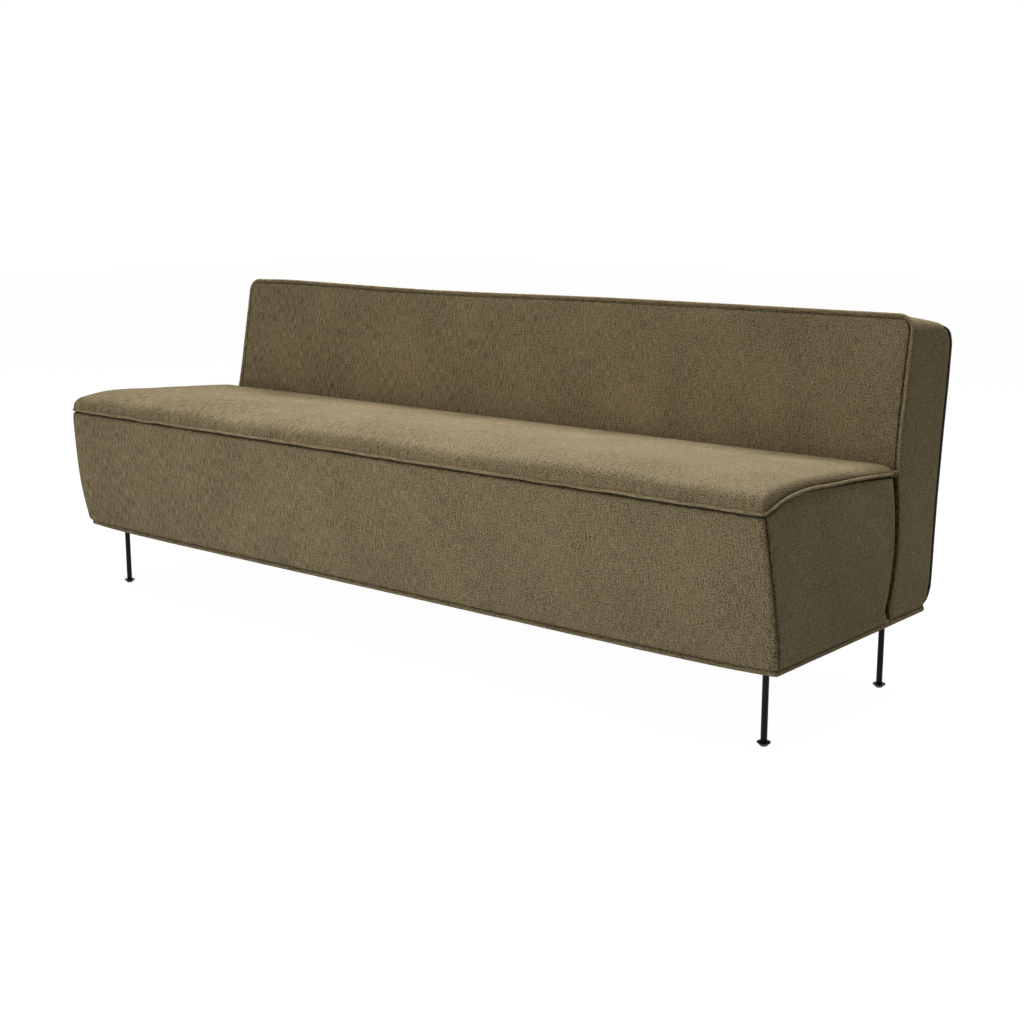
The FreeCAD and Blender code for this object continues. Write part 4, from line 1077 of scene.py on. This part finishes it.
def base_roll():
    """Fabric roll round the edge of the board, a little forward along the front."""
    edge = base_edge(0.0, 5.0)
    ahead = along_edge(edge)
    inward = np.stack([-ahead[:, 1], ahead[:, 0]], axis=1)
    rear_depth, belly, half_height, overhang = 5.9, 5.4, 5.2, 2.3
    angle = np.radians(np.linspace(-90.0, 90.0, 13))
    belly_height = np.sign(np.sin(angle)) * np.abs(np.sin(angle)) ** 0.75
    depth = np.concatenate([[rear_depth], belly * (1.0 - np.cos(angle) ** 0.55), [rear_depth]])
    height = np.concatenate([[0.0], half_height + half_height * belly_height, [2.0 * half_height]])
    walked = lengths(edge)
    wave = 0.3 * line_ripple(walked, 91, 140.0)
    bow = np.where(edge[:, 1] < BASE_FRONT_Y + 20.0, foot_bow(edge[:, 0]), 0.0)
    out = 1.0 - depth / rear_depth
    reach = depth - (bow + wave)[:, None] * out
    x = edge[:, :1] + inward[:, :1] * reach
    y = edge[:, 1:] + inward[:, 1:] * reach
    z = BOARD_Z - overhang + height - 0.17 * bow[:, None] * out
    around = lengths(np.stack([depth, height], axis=1))
    piece = sheet_mesh("base_roll", np.stack([x, y, z], axis=2)[:, ::-1], around[None, :],
                       walked[:, None], OLIVE, wrap_rows=True, wrap_cols=True)
    set_on(piece, ("base_edge_roll",))


def dust_cover():
    """Black lining stretched under the board, hanging a little between its staples."""
    inset = 13.0
    x = np.linspace(-(HALF_WIDTH - inset), HALF_WIDTH - inset, 150)
    y = np.linspace(BASE_FRONT_Y + inset, BASE_REAR_Y - inset, 60)
    gx, gy = np.meshgrid(x, y[::-1])
    edge = np.minimum(np.minimum(gx - x[0], x[-1] - gx), np.minimum(gy - y[0], y[-1] - gy))
    to_plate = np.min([np.hypot(gx - sign * LEG_X, gy - leg_y)
                       for sign in SIDES.values() for leg_y in LEG_Y.values()], axis=0)
    slack = smooth_step(edge, 15.0, 160.0) * smooth_step(to_plate, 40.0, 160.0)
    sag = slack * (2.6 + 0.8 * ripple(gx, gy, 95, 300.0, 220.0))
    points = np.stack([gx, gy, PLATE_TOP_Z + 0.05 - sag], axis=2)
    piece = sheet_mesh("dust_lining", points, gx, gy, LINING, wall=0.9)
    set_on(piece, ("dust_cover",))


def lower_edge(outer_r, z, round_r, count):
    """Rounded lower edge of a turned disc as (radius, z)."""
    return [*on_circle((outer_r - round_r, z + round_r), round_r, quarter(count) - QUARTER_TURN)]


def upper_edge(outer_r, z, round_r, count):
    """Rounded upper edge of a turned disc as (radius, z)."""
    return [*on_circle((outer_r - round_r, z - round_r), round_r, quarter(count))]


def leg(end, side, sign):
    """Steel rod with a weld bead under its round plate, and a hole for the glide's stud."""
    hole_r, hole_top_z, bead_r = 3.1, 34.5, 3.0
    bead = [*on_circle((ROD_R + bead_r, LEG_TOP_Z - bead_r), bead_r, math.pi - quarter(6))]
    profile = [(0.0, hole_top_z), (hole_r, hole_top_z), (hole_r, ROD_FOOT_Z)]
    profile += [(6.0, ROD_FOOT_Z), (6.35, 8.65), (ROD_R, 9.0), (ROD_R, 60.0), (ROD_R, 110.0)]
    profile += bead + [(20.0, LEG_TOP_Z)]
    profile += lower_edge(PLATE_R, LEG_TOP_Z, 1.4, 6) + upper_edge(PLATE_R, PLATE_TOP_Z, 1.1, 6)
    profile += [(15.0, PLATE_TOP_Z), (0.0, PLATE_TOP_Z)]
    name = "leg_%s_%s" % (end, side)
    piece = lathe_mesh(name + "_rod", profile, sign * LEG_X, LEG_Y[end], POWDER)
    set_on(piece, (name,))


def glide(end, side, sign):
    """Cone foot with a rounded lip and its stud."""
    cone_r, stud_r, stud_top_z = 13.5, 3.0, 32.5
    profile = [(0.0, 0.0), (6.4, 0.0), (6.85, 0.15), (7.1, 0.5)]
    profile += lower_edge(cone_r, 6.3, 0.8, 5) + upper_edge(cone_r, ROD_FOOT_Z, 0.9, 5)
    profile += [(8.0, ROD_FOOT_Z), (stud_r, ROD_FOOT_Z), (stud_r, stud_top_z - 1.0)]
    profile += [(stud_r - 1.0, stud_top_z), (0.0, stud_top_z)]
    name = "glide_%s_%s" % (end, side)
    piece = lathe_mesh(name + "_foot", profile, sign * LEG_X, LEG_Y[end], POWDER)
    set_on(piece, (name,), body=name)


# Screws and staples, set on points by Geometry Nodes

class Scatter(Nodes):
    """A Geometry Nodes tree that sets copies of a small part on points, each turned by its heading."""

    def __init__(self, name, **sizes):
        super().__init__(bpy.data.node_groups.new(name, "GeometryNodeTree"))
        self.names = {}
        kinds = {"Geometry": "NodeSocketGeometry", "Finish": "NodeSocketMaterial",
                 "Seed": "NodeSocketInt", "Turn spread": "NodeSocketFloat"}
        kinds.update({size: "NodeSocketFloat" for size in sizes})
        for label, kind in kinds.items():
            socket = self.tree.interface.new_socket(label, in_out="INPUT", socket_type=kind)
            self.names[label] = socket.identifier
        self.tree.interface.new_socket("Geometry", in_out="OUTPUT", socket_type="NodeSocketGeometry")
        self.given = self.tree.nodes.new("NodeGroupInput").outputs
        self.sizes = sizes

    def minus(self, value):
        return self.math("MULTIPLY", value, -1.0)

    def along(self, x=0.0, y=0.0, z=0.0):
        return self.add("ShaderNodeCombineXYZ", X=x, Y=y, Z=z)

    def moved(self, geometry, place):
        return self.add("GeometryNodeTransform", Geometry=geometry, Translation=place)

    def joined(self, *parts):
        return self.add("GeometryNodeJoinGeometry", Geometry=list(parts))

    def finish(self, part):
        """Copies on the points, made real, with their finish."""
        spread = self.given["Turn spread"]
        as_float = {"data_type": "FLOAT"}
        chance = self.add("FunctionNodeRandomValue", out=1, settings=as_float,
                          i2=self.minus(spread), i3=spread, Seed=self.given["Seed"])
        heading = self.add("GeometryNodeInputNamedAttribute", settings=as_float, Name="heading")
        turn = self.along(z=self.math("ADD", heading, chance))
        turn = self.add("FunctionNodeEulerToRotation", Euler=turn)
        copies = self.add("GeometryNodeInstanceOnPoints", Points=self.given["Geometry"],
                          Instance=part, Rotation=turn)
        real = self.add("GeometryNodeRealizeInstances", Geometry=copies)
        coated = self.add("GeometryNodeSetMaterial", Geometry=real, Material=self.given["Finish"])
        end = self.tree.nodes.new("NodeGroupOutput")
        self.tree.links.new(coated, end.inputs[0])

    def set_out(self, name, points, headings, finish, seed, spread):
        """Plain mesh object with the copies at points in millimetres."""
        mesh = bpy.data.meshes.new(name)
        mesh.from_pydata((np.array(points) * MM).tolist(), [], [])
        mesh.attributes.new("heading", "FLOAT", "POINT").data.foreach_set("value", headings)
        piece = in_scene(name, mesh)
        modifier = piece.modifiers.new("copies", "NODES")
        modifier.node_group = self.tree
        modifier[self.names["Finish"]] = finish
        modifier[self.names["Seed"]] = seed
        modifier[self.names["Turn spread"]] = spread
        for size, value in self.sizes.items():
            modifier[self.names[size]] = value * MM
        graph = bpy.context.evaluated_depsgraph_get()
        real = bpy.data.meshes.new_from_object(piece.evaluated_get(graph), depsgraph=graph)
        piece.modifiers.clear()
        piece.data = real
        return piece


def leg_screws():
    """Cross-recessed screws under the legs' plates, three to a plate."""
    s = Scatter("plate_screw", Head=4.5, Rim=3.6, Height=2.6, Shank=2.15, Grip=14.0, Slot=5.4,
                Blade=1.1)
    size = s.given
    foot = s.along(z=s.minus(size["Height"]))
    head = s.add("GeometryNodeMeshCone", Vertices=32, Radius_Top=size["Head"],
                 Radius_Bottom=size["Rim"], Depth=size["Height"])
    blades = [s.along(size["Slot"], size["Blade"], size["Height"]),
              s.along(size["Blade"], size["Slot"], size["Height"])]
    blades = [s.moved(s.add("GeometryNodeMeshCube", Size=blade), foot) for blade in blades]
    head = s.add("GeometryNodeMeshBoolean", settings={"operation": "DIFFERENCE"},
                 Mesh_1=s.moved(head, foot), Mesh_2=blades)
    shank = s.add("GeometryNodeMeshCylinder", Vertices=20, Radius=size["Shank"], Depth=size["Grip"])
    shank = s.moved(shank, s.along(z=s.math("MULTIPLY", size["Grip"], 0.5)))
    s.finish(s.joined(head, shank))
    ring_r = 26.0
    points = [(sign * LEG_X + ring_r * math.cos(turn), leg_y + ring_r * math.sin(turn), LEG_TOP_Z)
              for sign in SIDES.values() for leg_y in LEG_Y.values()
              for turn in (0.0, FULL_TURN / 3.0, 2.0 * FULL_TURN / 3.0)]
    piece = s.set_out("leg_screw_set", points, [0.0] * len(points), ZINC, 7, math.pi)
    set_on(piece, ("leg_screws",))


def lining_staples():
    """Staples round the edge of the dust lining, each a little askew."""
    s = Scatter("lining_staple", Half_crown=5.0, Wire=0.45, Leg=6.0)
    size = s.given
    right = s.along(x=size["Half_crown"])
    left = s.along(x=s.minus(size["Half_crown"]))
    up = s.along(z=size["Leg"])
    lines = [s.add("GeometryNodeCurvePrimitiveLine", Start=left, End=right)]
    for foot in (left, right):
        tip = s.add("ShaderNodeVectorMath", settings={"operation": "ADD"}, i0=foot, i1=up)
        lines.append(s.add("GeometryNodeCurvePrimitiveLine", Start=foot, End=tip))
    ring = s.add("GeometryNodeCurvePrimitiveCircle", Resolution=10, Radius=size["Wire"])
    s.finish(s.add("GeometryNodeCurveToMesh", Curve=s.joined(*lines), Profile_Curve=ring,
                   Fill_Caps=True))
    edge = base_edge(22.0, 58.0)
    ahead = along_edge(edge)
    headings = np.arctan2(ahead[:, 1], ahead[:, 0])
    points = np.column_stack([edge, np.full(len(edge), PLATE_TOP_Z - 0.25)])
    piece = s.set_out("lining_staple_set", points, headings.tolist(), ZINC, 13, 0.16)
    set_on(piece)


seat_front()
seat_top()
for side_name, side_sign in SIDES.items():
    seat_side(side_name, side_sign)
    for end_name in LEG_Y:
        leg(end_name, side_name, side_sign)
        glide(end_name, side_name, side_sign)
seat_welt()
back_front()
back_band()
back_rear()
back_welt()
base_roll()
dust_cover()
leg_screws()
lining_staples()


# Floor, light and camera, in metres

def aimed(name, data, place, target):
    """Lamp or camera at a place, turned to a target."""
    thing = in_scene(name, data)
    thing.location = place
    thing.rotation_euler = (Vector(target) - Vector(place)).to_track_quat("-Z", "Y").to_euler()
    return thing


def area_light(name, place, target, width, height, power):
    data = bpy.data.lights.new(name, "AREA")
    data.shape = "RECTANGLE"
    data.size = width
    data.size_y = height
    data.energy = power
    aimed(name, data, place, target)


class Studio(Nodes):
    """Nodes of the floor or the air: a shader for the eye and one for the rays that light the object."""

    def __init__(self, block, end):
        block.use_nodes = True
        super().__init__(block.node_tree)
        self.tree.nodes.clear()
        self.end = self.tree.nodes.new(end)

    def grey(self, kind, level, **inputs):
        return self.add(kind, Color=(level, level, level, 1.0), **inputs)

    def close(self, for_light, for_eye):
        """The eye's shader for camera, glossy and transmission rays, and the other one for the rest."""
        camera, glossy, transmission = [self.add("ShaderNodeLightPath", "Is %s Ray" % ray)
                                        for ray in ("Camera", "Glossy", "Transmission")]
        seen = self.math("MAXIMUM", self.math("MAXIMUM", camera, glossy), transmission)
        self.feed(self.end, Surface=self.add("ShaderNodeMixShader", i0=seen, i1=for_light, i2=for_eye))


def studio_floor():
    """Pale floor that shows white and keeps the object's soft shadow."""
    half = 14
    mesh = bpy.data.meshes.new("studio_floor")
    mesh.from_pydata([(-half, -half, 0), (half, -half, 0), (half, half, 0), (-half, half, 0)], [],
                     [(0, 1, 2, 3)])
    material = bpy.data.materials.new("pale_floor")
    studio = Studio(material, "ShaderNodeOutputMaterial")
    glow = studio.grey("ShaderNodeEmission", 1.0, Strength=0.965)
    shadow = studio.grey("ShaderNodeBsdfDiffuse", 0.22)
    studio.close(studio.grey("ShaderNodeBsdfDiffuse", 0.62),
                 studio.add("ShaderNodeAddShader", i0=glow, i1=shadow))
    mesh.materials.append(material)
    in_scene("studio_floor", mesh)


def studio_air():
    """White surround for the eye, and a dim even light for the object."""
    world = bpy.data.worlds.new("studio_air")
    studio = Studio(world, "ShaderNodeOutputWorld")
    dim = studio.add("ShaderNodeBackground", Color=(1.0, 0.985, 0.85, 1.0), Strength=0.115)
    studio.close(dim, studio.grey("ShaderNodeBackground", 1.0, Strength=1.0))
    bpy.context.scene.world = world


def studio_camera():
    data = bpy.data.cameras.new("camera")
    data.lens = 55.57
    data.sensor_width = 36.0
    data.sensor_fit = "HORIZONTAL"
    place = (2.4575, -2.7765, 1.0501)
    target = (0.0682, 0.0697, 0.2777)
    bpy.context.scene.camera = aimed("camera", data, place, target)


studio_floor()
studio_air()
studio_camera()
area_light("overhead", (0.1, 0.85, 2.7), (0.05, 0.0, 0.3), 2.4, 1.4, 82.0)
area_light("front_fill", (0.0, -3.3, 0.95), (0.0, -0.3, 0.4), 1.8, 1.2, 34.0)
bpy.context.scene.view_settings.view_transform = "Standard"
